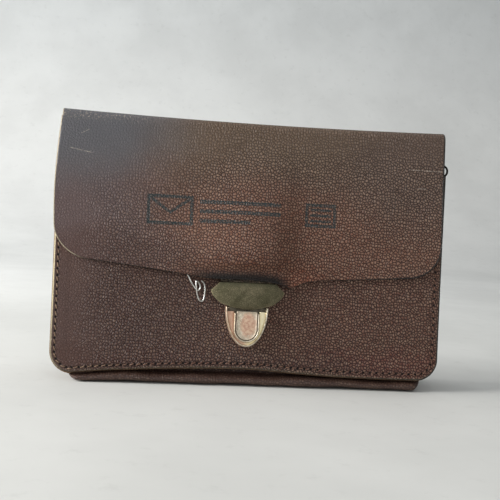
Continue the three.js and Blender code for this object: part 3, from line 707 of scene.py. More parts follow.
def gusset_section(side, part, along):
    """The strip's middle line from the front flange over the wall or foot to the rear flange."""
    fall = along if part == "wall" else 1
    bottom = {"wall": 0, "corner": along, "foot": 1}[part]
    corner_top = panel_edge(side * HALF_WIDTH) + PANEL_CORNER
    front_top = PANEL_HEIGHT - TOP_INSET
    rear_top = front_top + REAR_RISE
    x, up, over, under = outline_point(side, part, along, front_top + (corner_top - front_top) * fall)
    rear_x, rear_up = outline_point(side, part, along, rear_top + (corner_top - rear_top) * fall)[:2]
    rear_x = np.clip(rear_x, -HALF_WIDTH, HALF_WIDTH)

    angles = np.linspace(0, math.radians(SIDE_BEND + (FOOT_BEND - SIDE_BEND) * bottom), 9)
    insets = np.concatenate([FLANGE_INSETS, FLANGE_WIDTH + HAIRPIN * np.sin(angles)])
    backs = np.concatenate([0 * np.array(FLANGE_INSETS), HAIRPIN * (1 - np.cos(angles))])
    front_lip = on_front(x - over * insets, -FLANGE_BACK - backs, up - under * insets)
    rear_lip = on_back(rear_x - over * insets, -FLANGE_BACK - backs, rear_up - under * insets)

    start, end = front_lip[-1], rear_lip[-1]
    curve_depth = (end[1] - start[1]) * (1 - ROLL_FLAT) / 2
    front_x, front_z = wall_point(side, part, along, start[2], WALL_RISE)
    back_x, back_z = wall_point(side, part, along, end[2], 0)
    front_knee = np.array([front_x, start[1] + curve_depth, front_z])
    rear_knee = np.array([back_x, end[1] - curve_depth, back_z])
    pull = SIDE_PULL + (FOOT_PULL - SIDE_PULL) * bottom
    plain = wall_curve(start, front_knee, pull, np.linspace(0, 1, ROLL_STEPS + 1)[1:])
    rolled = foot_roll(x, start, front_knee)[1:]
    flat = front_knee + (rear_knee - front_knee) * np.linspace(0, 1, 7)[1:-1, None]
    rear = wall_curve(end, rear_knee, pull, np.linspace(1, 0, 13)[:-1])
    return np.concatenate([front_lip, plain + (rolled - plain) * bottom, flat, rear, rear_lip[::-1]])


def gusset_hide(material):
    middle = np.array([gusset_section(*station) for station in gusset_stations()])
    steps = np.linalg.norm(np.diff(middle, axis=0), axis=2).mean(axis=1)
    run = np.concatenate([[0], np.cumsum(steps)])[:, None]
    width = np.cumsum(np.linalg.norm(np.diff(middle, axis=1), axis=2), axis=1)
    width = np.concatenate([np.zeros((len(middle), 1)), width], axis=1)
    distance = least(width, width[:, -1:] - width, run, run[-1] - run)
    relief = smooth_step(9, 15, distance) * (ripple(run, width, GUSSET_RIPPLE) - 0.62)
    return thick_sheet(
        "gusset_fold", middle, GUSSET_HIDE, distance, (run, width), material, -1, NO_SEAM, relief)


# Press lock: sizes as in the bag's front, across, out and up
LOCK_OFFSET = -3.1
LOCK_TOP = HEM_LEVEL - 25.6
LOCK_HALF = 15
LOCK_HEIGHT = 27.4
BUTTON_HALF = 7.25
BUTTON_GAP = 0.35
BUTTON_RIM = 1.9
BUTTON_FOOT = 2.6
BUTTON_CORNER = 0.9
LOCK_ARM_DROP = 2.6
POCKET_HALF = BUTTON_HALF + BUTTON_GAP
POCKET_FOOT = LOCK_TOP - LOCK_HEIGHT + BUTTON_FOOT + BUTTON_RIM
BUTTON_TOP = LOCK_TOP - LOCK_ARM_DROP - BUTTON_GAP
BED_TOP = LOCK_TOP - 2.9
BED_OUT = 4.02
BED_DOME = 0.34
BED_UNDERSIDE = 3.2
POCKET_RIM_TOP = LOCK_TOP - 4.1
RIM_END_SHARES = ((0, 0.7), (1, 0.92), (-1, 0.7), (-2, 0.92))

# Sections of the lock's rims: inward from the outline, and out from the panel
OUTER_RIM = [
    (0.25, 0.3), (0.05, 0.6), (0, 1.2), (0, 3.3), (0.08, 4.1), (0.24, 4.6), (0.5, 4.98), (0.8, 5.12),
    (1.08, 5.04), (1.3, 4.8), (1.46, 4.4), (1.56, 3.9), (1.6, 1.0), (1.3, 0.3),
]
POCKET_RIM = [
    (0, 1.0), (0, 5.2), (0.05, 5.75), (0.2, 6.2), (0.42, 6.46), (0.66, 6.48), (0.92, 6.3), (1.14, 5.9),
    (1.3, 5.3), (1.4, 4.5), (1.44, 3.4), (1.3, 1.0),
]
BUTTON_RINGS = [
    (0.25, 4.1), (0, 4.3), (0, 5.5), (0.06, 5.85), (0.2, 6.1), (0.4, 6.2), (0.62, 6.14), (0.85, 5.94),
    (1.1, 5.84), (1.6, 5.84), (2.4, 5.88), (3.4, 5.94), (4.6, 6.0), (5.8, 6.04), (6.6, 6.05),
]


def front_places(vertices):
    """Lock coordinates (across, out, up) as places in the frame."""
    x, out, up = np.asarray(vertices, float).T
    return to_frame(on_front(x + LOCK_OFFSET, out, up))


def lock_object(name, parts, material):
    """One object from parts in lock coordinates, which it keeps as its place."""
    vertices, faces = joined(parts)
    vertices = np.asarray(vertices, float)
    made = new_object(name, front_places(vertices), faces, material)
    add_vector(made, "place", vertices[:, [0, 2, 1]] - [0, LOCK_TOP, 0])
    return made


def closed_bar(grid):
    vertices = np.asarray(grid).reshape(-1, 3)
    return vertices, facing_out(front_places(vertices), bar_faces(*np.shape(grid)[:2]))


def shield_line(inset, top, count=150):
    """The U of the lock's outline from the left arm round to the right one, moved inward."""
    turns = np.linspace(math.pi, 2 * math.pi, 500)
    x, up = LOCK_HALF * np.cos(turns), LOCK_HEIGHT * np.sin(turns)
    normal = np.stack([x / LOCK_HALF ** 2, up / LOCK_HEIGHT ** 2], axis=1)
    normal /= np.linalg.norm(normal, axis=1, keepdims=True)
    line = np.stack([x, up + LOCK_TOP], axis=1) - normal * inset
    return resampled(line[line[:, 1] <= top], count)


def pocket_line(inset, top=POCKET_RIM_TOP, count=150):
    """The U round the button's pocket, moved outward."""
    half, foot = POCKET_HALF + inset, POCKET_FOOT - inset
    bend = arc(0, foot + half, half, 1, 2, 240)
    return resampled([(-half, top), *bend, (half, top)], count)


def rim_bar(line_at, section):
    """A closed bar with one section along a U-shaped line. line_at gives the line moved by a distance."""
    lines = np.array([line_at(inset) for inset, _ in section])
    outs = np.array([out for _, out in section])[:, None]
    grid = spread(lines[..., 0], outs, lines[..., 1]).swapaxes(0, 1)
    for i, share in RIM_END_SHARES:
        centre = grid[i].mean(axis=0)
        grid[i] = centre + (grid[i] - centre) * share
    return closed_bar(grid)


def lock_bed():
    """The pressed ground between the two rims, a little domed."""
    shares = np.linspace(0, 1, 9)
    grid = []
    for outer, inner in zip(shield_line(1.3, BED_TOP, 120), pocket_line(1.15, BED_TOP, 120)):
        x, up = outer[:, None] + (inner - outer)[:, None] * shares
        top = spread(x, BED_OUT + BED_DOME * np.sin(math.pi * shares), up)
        grid.append(np.concatenate([top, spread(x, BED_UNDERSIDE, up)[::-1]]))
    return closed_bar(grid)


def lock_back():
    x, up = shield_line(0.25, LOCK_TOP - 0.2, 90).T
    return closed_bar([spread(x, out, up) for out in (0.3, 1.05)])


def lock_shell(material):
    outer = rim_bar(lambda inset: shield_line(inset, LOCK_TOP), OUTER_RIM)
    pocket = rim_bar(pocket_line, POCKET_RIM)
    return lock_object("lock_shell", [outer, pocket, lock_bed(), lock_back()], material)


def button_ring(inset):
    half = BUTTON_HALF - inset
    foot = POCKET_FOOT + BUTTON_GAP + inset
    top = BUTTON_TOP - inset
    corner = max(BUTTON_CORNER - inset, 0.08)
    bends = [
        arc(0, foot + half, half, 1, 2, 60),
        arc(half - corner, top - corner, corner, 0, 0.5, 8),
        arc(corner - half, top - corner, corner, 0.5, 1, 8),
    ]
    return resampled(np.concatenate(bends), 120, closed=True)


def lock_button_cap(material):
    """The button's rings from its rim in to its middle, with a ridge at its top and a rubbed dent."""
    grid = []
    for inset, out in BUTTON_RINGS:
        x, up = button_ring(inset).T
        ridge = 0.42 * np.exp(-((BUTTON_TOP - up - 0.55) / 0.45) ** 2) * (out > 5)
        dent = 0.1 * bell(x, up, (1.6, 35), (1.9, 2.6)) * (inset > 1)
        grid.append(spread(x, out + ridge - dent, up))
    return lock_object("lock_button_cap", [closed_bar(grid)], material)


# Padded tab: shares of its height, half width and thickness from its foot to its top
TAB_HALF = 25.5
TAB_HEIGHT = 17
TAB_THICKNESS = 6.2
TAB_FOOT_CURVE = 7
TAB_FOOT = LOCK_TOP - LOCK_ARM_DROP + 1.1
TAB_TOP = TAB_FOOT + TAB_HEIGHT
TAB_BACK = 2.45
PAD_TOP_SHARE = 1.08
PAD_EDGE_SHARE = 0.27
PAD_LEAST_SHARE = 0.22
PAD_HALF_ROWS = [
    (0, 0.74), (0.12, 0.87), (0.28, 0.96), (0.47, 1), (0.6, 0.985), (0.8, 0.9), (1, 0.815), (1.08, 0.78),
]
PAD_THICK_ROWS = [
    (0, 0.22), (0.06, 0.5), (0.16, 0.76), (0.3, 0.93), (0.5, 1), (0.7, 0.98), (0.88, 0.84), (1, 0.62),
    (1.08, 0.3),
]
STRIP_HALF = 19
STRIP_THICKNESS = 2
STRIP_LENGTH = 20


def tab_pad(material):
    across = np.sin(np.linspace(-1, 1, 91) * math.pi / 2)
    shares = np.linspace(0, PAD_TOP_SHARE, 53)[:, None]
    wide = across * smooth_table(PAD_HALF_ROWS)(shares)
    x = wide * TAB_HALF
    up = TAB_FOOT + TAB_FOOT_CURVE * wide ** 2 * (1 - shares) + shares * TAB_HEIGHT
    dome = (1 - np.abs(across) ** 2.4) ** 0.6
    swell = PAD_EDGE_SHARE + (smooth_table(PAD_THICK_ROWS)(shares) - PAD_EDGE_SHARE) * dome
    lumps = 0.16 * ripple(x, up, PAD_RIPPLE) - 0.35 * bell(x, up, (-5, 56), (9, 4))
    thick = np.maximum(TAB_THICKNESS * swell + lumps * dome, PAD_LEAST_SHARE * TAB_THICKNESS)
    front = spread(x, TAB_BACK + thick, up)
    back = spread(x * 0.985, TAB_BACK, up)
    vertices = np.concatenate([front.reshape(-1, 3), back.reshape(-1, 3)])
    made = lock_object("tab_pad", [(vertices, shell_faces(*x.shape))], material)
    side, foot = (1 - np.abs(across)) * TAB_HALF, shares * TAB_HEIGHT
    edge = spread(side, foot, np.minimum(side, foot))
    add_vector(made, "seam", [edge, 0 * edge])
    return made


def tab_strip(material):
    """The strip that ties the pad's top to the flap, hidden under the flap."""
    x = np.linspace(-STRIP_HALF, STRIP_HALF, 41)
    up = np.linspace(TAB_TOP + 1.2, TAB_TOP + STRIP_LENGTH, 26)[:, None]
    under = flap_out((x + LOCK_OFFSET) / HALF_WIDTH, up) - HIDE / 2 - 0.6 - STRIP_THICKNESS / 2
    low = TAB_BACK + 2.1
    out = np.minimum(low + (under - low) * smooth_step(TAB_TOP + 1, TAB_TOP + 8, up), under)
    distance = least(STRIP_HALF - np.abs(x), up - up[0], up[-1] - up)
    return thick_sheet(
        "tab_strip", on_front(x + LOCK_OFFSET, out, up), STRIP_THICKNESS, distance, (x, up), material, -1)


# Bent wire: shares of the clip's width, depth and height
WIRE_DIAMETER = 1.1
WIRE_SIDES = 14
CLIP_SIZE = np.array([13.9, 2.65, 20])
CLIP_CORNER = np.array([-46.5, TOUCH_GAP + WIRE_DIAMETER / 2, HEM_LEVEL - 22.6])
WIRE_ROWS = [
    (0, 0, 1), (0.18, 0, 0.8), (0.32, 0.04, 0.62), (0.5, 0.08, 0.445), (0.655, 0.08, 0.35),
    (0.755, 0.12, 0.43), (0.73, 0.2, 0.56), (0.625, 0.4, 0.66), (0.54, 0.8, 0.68), (0.54, 1, 0.58),
    (0.58, 0.92, 0.35), (0.65, 0.8, 0.15), (0.76, 0.64, 0.01), (0.89, 0.48, 0), (0.965, 0.4, 0.11),
    (1, 0.36, 0.3), (0.985, 0.32, 0.5), (0.93, 0.2, 0.61), (0.83, 0.08, 0.68),
]


def bent_wire(material):
    points = on_front(*(CLIP_CORNER + np.array(WIRE_ROWS) * CLIP_SIZE).T)
    tube = tube_parts(to_frame(smooth_line(points, 10)), WIRE_DIAMETER / 2 * MM, WIRE_SIDES)
    return new_object("bent_wire", *tube, material)


# Ring and its tab, placed from the ring's own box
RING_WIRE = 1.5
RING_HEIGHT = 9.6
RING_REACH = 13.4
RING_CORNER = 1.4
RING_TAB_WIDTH = 5.6
RING_TAB_HIDE = 1.5
RING_TAB_LEG = 2.4
RING_PLAY = 0.35
ring_low, ring_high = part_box("side_ring")
RING_CENTRE = np.array([
    ring_low.x / MM + RING_WIRE / 2,
    (ring_low.y + ring_high.y) / 2 / MM,
    (ring_low.z + ring_high.z) / 2 / MM,
])


def ring_wire(material):
    """A D of wire: its round end, then the two small corners of its straight side."""
    radius = (RING_HEIGHT - RING_WIRE) / 2
    bends = [
        arc(RING_REACH - RING_WIRE - radius, 0, radius, -0.5, 0.5, 41),
        arc(RING_CORNER, radius - RING_CORNER, RING_CORNER, 0.5, 1, 11),
        arc(RING_CORNER, RING_CORNER - radius, RING_CORNER, 1, 1.5, 11),
    ]
    x, z = resampled(np.concatenate(bends), 110, closed=True).T
    line = spread(x, 0, z) + RING_CENTRE
    tube = tube_parts(line * MM, RING_WIRE / 2 * MM, WIRE_SIDES, closed=True)
    return new_object("ring_wire", *tube, material)


def ring_loop(material):
    """The small strap round the ring's bar: two legs flat on the gusset and a loop between them."""
    inner = RING_WIRE / 2 + RING_PLAY
    radius = inner + RING_TAB_HIDE / 2
    base = -radius
    leg = [
        (base, radius + RING_TAB_LEG + RING_TAB_HIDE / 2), (base, radius + 1.6),
        (base + 0.25, radius + 0.35), (base + 1.0, radius),
    ]
    line = [(x, -z) for x, z in leg] + [*arc(0, 0, radius, -0.5, 0.5, 25)] + leg[::-1]
    line = smooth_line([(x, 0, z) for x, z in line], 3)
    across = fine_at_both_ends(RING_TAB_WIDTH / 2, [0, 0.1, 0.25, 0.5, 0.9], 0.9)
    middle = spread(line[:, :1], across, line[:, 2:]) + RING_CENTRE - SHIFT
    run = run_along(line)[:, None]
    distance = least(run, run[-1] - run, RING_TAB_WIDTH / 2 - np.abs(across))
    return thick_sheet("ring_loop", middle, RING_TAB_HIDE, distance, (across, run), material)


# Materials
class Value:
    """One output of a material's graph. Plain arithmetic on it puts down math nodes."""

    def __init__(self, graph, socket):
        self.graph = graph
        self.socket = socket

    def __add__(self, other):
        return self.graph.math("ADD", self, other)

    def __sub__(self, other):
        return self.graph.math("SUBTRACT", self, other)

    def __rsub__(self, other):
        return self.graph.math("SUBTRACT", other, self)

    def __mul__(self, other):
        return self.graph.math("MULTIPLY", self, other)

    def __truediv__(self, other):
        return self.graph.math("DIVIDE", self, other)

    def __abs__(self):
        return self.graph.math("ABSOLUTE", self)


class Graph:
    """A material's nodes, put down by short calls that give back their outputs. Stains change its colour."""

    def __init__(self, name, color=None):
        self.material = bpy.data.materials.new(name)
        self.material.use_nodes = True
        self.tree = self.material.node_tree
        self.shader = self.tree.nodes["Principled BSDF"]
        self.color = color

    def put(self, socket, value):
        if isinstance(value, Value):
            self.tree.links.new(value.socket, socket)
        elif isinstance(value, tuple) and socket.type == "RGBA":
            socket.default_value = (*value, 1)
        else:
            socket.default_value = value

    def node(self, kind, inputs, output=0, **settings):
        made = self.tree.nodes.new(kind)
        for name, value in settings.items():
            setattr(made, name, value)
        for place, value in inputs.items():
            self.put(made.inputs[place], value)
        return Value(self, made.outputs[output])

    def math(self, operation, a, b=0.0, clamp=False):
        return self.node("ShaderNodeMath", {0: a, 1: b}, operation=operation, use_clamp=clamp)

    def vector(self, operation, a, b=(0.0, 0.0, 0.0)):
        return self.node("ShaderNodeVectorMath", {0: a, 1: b}, "Vector", operation=operation)

    def length(self, vector):
        return self.node("ShaderNodeVectorMath", {0: vector}, "Value", operation="LENGTH")

    def scaled(self, vector, size):
        return self.node("ShaderNodeVectorMath", {0: vector, "Scale": size}, "Vector", operation="SCALE")

    def parts(self, vector):
        first = self.node("ShaderNodeSeparateXYZ", {0: vector})
        return [Value(self, output) for output in first.socket.node.outputs]

    def attribute(self, name):
        return self.node("ShaderNodeAttribute", {}, "Vector", attribute_name=name)

    def object_place(self):
        return self.node("ShaderNodeTexCoord", {}, "Object")

    def noise(self, vector, scale, detail=3.0, roughness=0.6, output="Fac"):
        inputs = {"Vector": vector, "Scale": scale, "Detail": detail, "Roughness": roughness}
        return self.node("ShaderNodeTexNoise", inputs, output)

    def noise_vector(self, vector, scale, size, detail=1.0):
        """A wandering vector round 0, of about half the size."""
        color = self.noise(vector, scale, detail, 0.5, "Color")
        return self.scaled(self.vector("SUBTRACT", color, (0.5, 0.5, 0.5)), size)

    def cells(self, vector, scale, feature="F1", dimensions="2D"):
        inputs = {"Vector": vector, "Scale": scale, "Randomness": 0.9}
        return self.node(
            "ShaderNodeTexVoronoi", inputs, "Distance", feature=feature, voronoi_dimensions=dimensions)

    def step(self, value, low, high, start=0.0, end=1.0):
        inputs = {"Value": value, "From Min": low, "From Max": high, "To Min": start, "To Max": end}
        return self.node("ShaderNodeMapRange", inputs, "Result", interpolation_type="SMOOTHSTEP")

    def mix(self, share, a, b, blend="MIX"):
        return self.node(
            "ShaderNodeMix", {0: share, 6: a, 7: b}, 2, data_type="RGBA", blend_type=blend, clamp_factor=True)

    def stain(self, share, color):
        self.color = self.mix(share, self.color, color)

    def tinted(self, color, tint):
        return self.mix(1.0, color, tint, "MULTIPLY")

    def shade_by(self, share, tint):
        self.stain(share, self.tinted(self.color, tint))

    def blend(self, share, a, b):
        """A number between two numbers, as mix is for colours."""
        return self.node("ShaderNodeMix", {0: share, 2: a, 3: b}, data_type="FLOAT", clamp_factor=True)

    def bump(self, height, distance):
        inputs = {"Height": height, "Distance": distance, "Strength": 1.0}
        return self.node("ShaderNodeBump", inputs, "Normal")

    def finish(self, roughness, normal=None, metallic=0.0, specular=0.5):
        inputs = {"Base Color": self.color, "Roughness": roughness, "Metallic": metallic}
        inputs["Specular IOR Level"] = specular
        if normal is not None:
            inputs["Normal"] = normal
        for place, value in inputs.items():
            self.put(self.shader.inputs[place], value)
        return self.material


def srgb(red, green, blue):
    """A colour given in 0 to 255 steps, as linear light."""
    def linear(value):
        value /= 255
        return value / 12.92 if value <= 0.04045 else ((value + 0.055) / 1.055) ** 2.4
    return (linear(red), linear(green), linear(blue))


# Hides: pitch of the grain, and how much deeper than its patches each hide's tone is
GRAIN_PITCH = 2.0
GRAIN_BUMP = 0.00048
MIDDLE_SHADE = 0.56
FLAP_DEPTH = (0.78, 0.66, 0.59)
PANEL_DEPTH = (0.7, 0.49, 0.41)
GUSSET_DEPTH = (0.34, 0.28, 0.26)
# Valleys of the grain: painted shade in the recesses.
VALLEY_SHADE_TINT = (0.25, 0.18, 0.15)
# Tops of the pebbles: partly rubbed wear, partly painted highlight.
TOP_WEAR_AND_HIGHLIGHT_TINT = (1.25, 1.22, 1.2)

# Across the gusset, the part that is tucked in behind the flange, painted black as shade, and where a hide's
# left side turns raw
GUSSET_TUCK_SHADE = (7, 17.5)
RAW_LEFT = (-112, -126)

# Tone patches: centre and reach across and up the hide, colour and strength
FLAP_PATCHES = [
    ((-20, 92), (115, 34), srgb(122, 86, 68), 0.75),
    ((60, 96), (85, 34), srgb(122, 84, 66), 0.7),
    # Grey band along the fold: part worn tone, part painted sheen.
    ((20, 176), (170, 34), srgb(110, 98, 82), 0.8),
    # Purple-grey at the left: part tone, part painted sheen.
    ((-128, 108), (62, 60), srgb(94, 84, 90), 0.85),
    ((118, 146), (52, 40), srgb(100, 86, 80), 0.75),
    # Grey-blue top-left corner: part worn tone, part painted reflection.
    ((-126, 172), (64, 36), srgb(96, 103, 114), 1.0),
    ((-92, 82), (62, 15), srgb(80, 54, 48), 0.8),
    ((8, 75), (52, 9), srgb(108, 64, 40), 0.8),
    ((36, 67), (13, 11), srgb(128, 72, 44), 0.7),
]
PANEL_PATCHES = [
    ((60, 45), (90, 30), srgb(104, 74, 60), 0.7),
    # Purple-grey at the left: part tone, part painted sheen.
    ((-112, 40), (46, 60), srgb(88, 78, 80), 0.7),
    ((-66, 38), (50, 44), srgb(74, 48, 40), 0.75),
    ((95, 12), (60, 10), srgb(108, 62, 50), 0.8),
    ((-30, 8), (110, 12), srgb(78, 48, 36), 0.85),
]

# Scratches of the flap: centre, half length and slope
SCRATCHES = [
    ((-120, 150), 9, -0.18),
    ((122, 150.5), 13, 0.0),
    ((119, 137.5), 3.5, 0.0),
    ((-118, 163), 3, 0.6),
]

# Print on the flap: centres and half sizes, and the left and right end of each line
PRINT_LINE = 1.1
ENVELOPE = ((-58, 112.5), (14.5, 9.2))
STAMP = ((46, 114), (10, 7.2))
ADDRESS_ENDS = [(-38, 17), (-38, 17), (-38, -4)]
ADDRESS_TOP = 119.2
ADDRESS_PITCH = 6.7
ADDRESS_HALF = 1.35
PRINT_INK = srgb(30, 42, 44)


class HideGraph(Graph):
    """The graph of a grained hide, built up step by step from its pebbles to its cut edge."""

    def __init__(self, name):
        super().__init__(name)
        self.place = self.attribute("place")
        self.x, self.up, self.side = self.parts(self.place)
        self.run, self.offset, self.distance = self.parts(self.attribute("seam"))
        self.wander = self.noise_vector(self.place, 0.03, 26.0, 3.0)
        self.scuff = self.noise(self.place, 0.8, roughness=0.7)
        self.hem_shade = 0.0
        self.hole = 0.0

    def patch(self, centre, reach, soft=0.55):
        """1 inside a soft-edged oval on the hide, 0 outside it."""
        away = self.vector("SUBTRACT", self.vector("ADD", self.place, self.wander), (*centre, 0.0))
        away = self.vector("MULTIPLY", away, (1 / reach[0], 1 / reach[1], 0.0))
        return self.step(self.length(away), 1 + soft, 1 - soft)

    def grain(self, flatness, fades=()):
        """Pebbles with their height and their shade, lower where the hide is worn flat."""
        spot = self.vector("ADD", self.place, self.noise_vector(self.place, 0.3, 1.3))
        gap = self.cells(spot, 1 / GRAIN_PITCH, "DISTANCE_TO_EDGE")
        dome = self.cells(spot, 1 / GRAIN_PITCH)
        pebble = self.step(gap, 0.0, 0.26) * self.step(dome, 0.8, 0.1, 0.7, 1.0)
        fine = self.noise(self.place, 2.2)
        self.height = pebble * self.blend(flatness, 1.0, 0.35) + fine * 0.22
        shade = self.math("MULTIPLY", pebble, self.blend(self.step(fine, 0.3, 0.7), 0.85, 1.1), clamp=True)
        shade = self.blend(flatness, shade, self.blend(0.7, shade, 0.6))
        for fade in (self.step(self.x, 30.0, -100.0, 0.0, 0.45), *fades):
            shade = self.blend(fade, shade, MIDDLE_SHADE)
        self.shade = shade

    def tone(self, base, depth, patches=()):
        """Tone patches, dark valleys of painted shade, and pale tops that are partly rubbed wear and partly
        painted highlight.
        """
        worn = self.step(self.noise(self.place, 0.035, roughness=0.55), 0.3, 0.7)
        tone = self.mix(worn, base, self.mix(0.5, base, srgb(120, 92, 74)))
        for centre, reach, color, strength in patches:
            tone = self.mix(self.patch(centre, reach) * strength, tone, color)
        tone = self.tinted(tone, depth)
        rubbed = self.step(self.noise(self.place, 0.3, 2.0, 0.5), 0.3, 0.7) * 0.62
        # Pale tops are rubbed wear with a painted highlight. The dark valleys below are painted shade.
        top = self.mix(rubbed, self.tinted(tone, TOP_WEAR_AND_HIGHLIGHT_TINT), srgb(152, 128, 108))
        self.color = self.mix(self.step(self.shade, 0.05, 0.62), self.tinted(tone, VALLEY_SHADE_TINT), tone)
        self.stain(self.step(self.shade, 0.55, 1.0), top)

    def seam(self):
        """The groove and the holes that the threads go into, both darkened with painted shade."""
        turn = self.math("FRACT", self.run / STITCH_PITCH) - 0.5
        from_hole = (0.5 - abs(turn)) * STITCH_PITCH
        self.hole = self.step(from_hole / 1.25 + abs(self.offset), 1.1, 0.7)
        # Painted shade along the groove, then in the holes.
        self.stain(self.step(abs(self.offset), 1.4, 0.3) * 0.35, srgb(52, 36, 30))
        self.stain(self.hole, srgb(22, 11, 8))
        self.height = self.height - self.hole * 3.0

    def worn_band(self):
        band = self.step(self.distance, 2.0, 0.7) * self.step(self.scuff, 0.38, 0.62)
        self.stain(band * 0.5, srgb(112, 104, 84))

    def cut_edge(self, paint, reach=None):
        """The painted edge. It reaches further in at the left and the right unless a reach is given."""
        if reach is None:
            right = self.blend(self.step(self.x, 60, 134), 0.5, 1.25)
            reach = self.blend(self.step(self.x, *RAW_LEFT), right, 0.9)
        self.rim = self.step(self.distance, reach, reach - 0.3)
        self.stain(self.rim, paint)

    def finished(self):
        """The flesh side, and the shine of tops, valleys, holes, the painted shade over the tab, and edge."""
        flesh = self.mix(self.noise(self.place, 0.9, 4.0, 0.7), srgb(92, 70, 52), srgb(128, 100, 74))
        self.stain(self.side, flesh)
        height = self.blend(self.side, self.height, self.noise(self.place, 1.6, 4.0, 0.8))
        roughness = self.blend(self.step(self.shade, 0.2, 0.9), 0.66, 0.42)
        for share, rough in ((self.hem_shade, 0.95), (self.rim, 0.5), (self.hole, 1.0), (self.side, 0.9)):
            roughness = self.blend(share, roughness, rough)
        return self.finish(roughness, self.bump(height, GRAIN_BUMP))


def rectangle(g, centre, half):
    """Distance from a rectangle's outline, less than 0 inside it."""
    return g.math("MAXIMUM", abs(g.x - centre[0]) - half[0], abs(g.up - centre[1]) - half[1])


def printed_mark(g):
    """A plain envelope, three address lines and a stamp in faded ink: 1 where the ink is."""
    def outline(away):
        return g.step(abs(away), PRINT_LINE + 0.25, PRINT_LINE - 0.25)
    (middle, level), _ = ENVELOPE
    envelope = rectangle(g, *ENVELOPE)
    fold = abs(g.up - (level - 1.6) - abs(g.x - middle) * 0.72) / 1.23
    fold = g.step(envelope, 0.2, -0.2) * g.step(fold, PRINT_LINE + 0.15, PRINT_LINE - 0.35)
    stamp = rectangle(g, *STAMP)
    bars = abs(g.math("FRACT", g.up / 4.0) - 0.5)
    filled = g.step(stamp, -2.2, -2.6) * g.step(bars, 0.3, 0.22)
    ink = outline(envelope)
    for part in (fold, outline(stamp), filled):
        ink = g.math("MAXIMUM", ink, part)
    for row, (left, right) in enumerate(ADDRESS_ENDS):
        middle = ((left + right) / 2, ADDRESS_TOP - ADDRESS_PITCH * row)
        line = rectangle(g, middle, ((right - left) / 2, ADDRESS_HALF))
        ink = g.math("MAXIMUM", ink, g.step(line, 0.25, -0.25))
    return ink


def flap_material():
    """The flap's hide: print, painted shade where the hem curls in over the tab, specks along the fold,
    scratches, a raw left edge.
    """
    g = HideGraph("grained_hide")
    flatness = g.math("MAXIMUM", g.patch((-128, 170), (80, 46)), g.patch((-140, 100), (34, 120)))
    g.grain(flatness, [g.step(g.up, 138.0, 172.0, 0.0, 0.6)])
    g.tone(srgb(104, 80, 68), FLAP_DEPTH, FLAP_PATCHES)
    g.seam()
    paint = g.mix(g.scuff, srgb(16, 13, 12), srgb(40, 33, 28))
    raw = g.mix(g.scuff, srgb(176, 166, 142), srgb(128, 112, 92))
    g.cut_edge(g.mix(g.step(g.x, *RAW_LEFT) * g.step(g.scuff, 0.25, 0.5), paint, raw))

    # Painted shade: near black where the hem curls in over the tab and faces down.
    over_tab = g.step(g.x, -52, -26) * g.step(g.x, 30, 16)
    g.hem_shade = g.step(g.distance, 9.0, 1.5) * over_tab
    g.stain(g.hem_shade * 0.97, srgb(11, 7, 6))
    rubbed = g.step(g.noise(g.place, 0.9, roughness=0.7), 0.2, 0.5)
    g.stain(printed_mark(g) * rubbed * g.blend(g.step(g.shade, 0.95, 0.5), 0.62, 1.0), PRINT_INK)

    fold = g.step(g.up, 169, 175) * g.step(g.x, -40, -120) * g.step(g.up, 202, 188)
    specks = fold * g.step(g.noise(g.place, 0.7, roughness=0.75), 0.52, 0.66)
    g.stain(specks * 0.75, srgb(178, 166, 150))
    faint = g.step(g.noise(g.place, 0.6, 2.0, 0.5), 0.3, 0.55)
    for (x, up), half, slope in SCRATCHES:
        along = g.x - x
        across = abs(g.up - up - along * slope)
        line = g.step(across, 0.42, 0.1) * g.step(abs(along), half, half * 0.7) * faint
        g.stain(line * 0.6, srgb(176, 166, 154))
    return g.finished()


def panel_material():
    """The front panel's hide, flattened at its left, with a raw left edge and a khaki foot."""
    g = HideGraph("panel_hide")
    g.grain(g.patch((-140, 40), (30, 90)))
    g.tone(srgb(94, 70, 58), PANEL_DEPTH, PANEL_PATCHES)
    g.seam()
    g.worn_band()
    khaki = g.mix(g.scuff, srgb(34, 28, 24), srgb(84, 74, 58))
    black = g.mix(g.scuff, srgb(14, 12, 11), srgb(36, 30, 25))
    raw = g.mix(g.scuff, srgb(206, 194, 156), srgb(158, 142, 112))
    left = g.step(g.x, -126, -131) * g.step(g.up, 4, 62, 0.25, 1.0)
    g.cut_edge(g.mix(left, g.mix(g.step(g.x, 118, 130), khaki, black), raw))
    return g.finished()


def dull_material(name, base, flatness, shaded_tuck=None, reach=None):
    """The plain dark leather of the gusset and the small tabs, with painted black shade where it is tucked in
    behind the flange.
    """
    g = HideGraph(name)
    g.grain(flatness)
    g.tone(base, GUSSET_DEPTH)
    if shaded_tuck is not None:
        start, end = shaded_tuck
        # Painted shade: the recess between the flange and the roll is painted near black.
        tucked_shade = g.step(g.up, start - 1, start + 1) * g.step(g.up, end + 2, end - 2)
        g.stain(tucked_shade * 0.93, srgb(12, 8, 7))
    g.worn_band()
    g.cut_edge(g.mix(g.scuff, srgb(15, 12, 11), srgb(40, 33, 27)), reach)
    return g.finished()


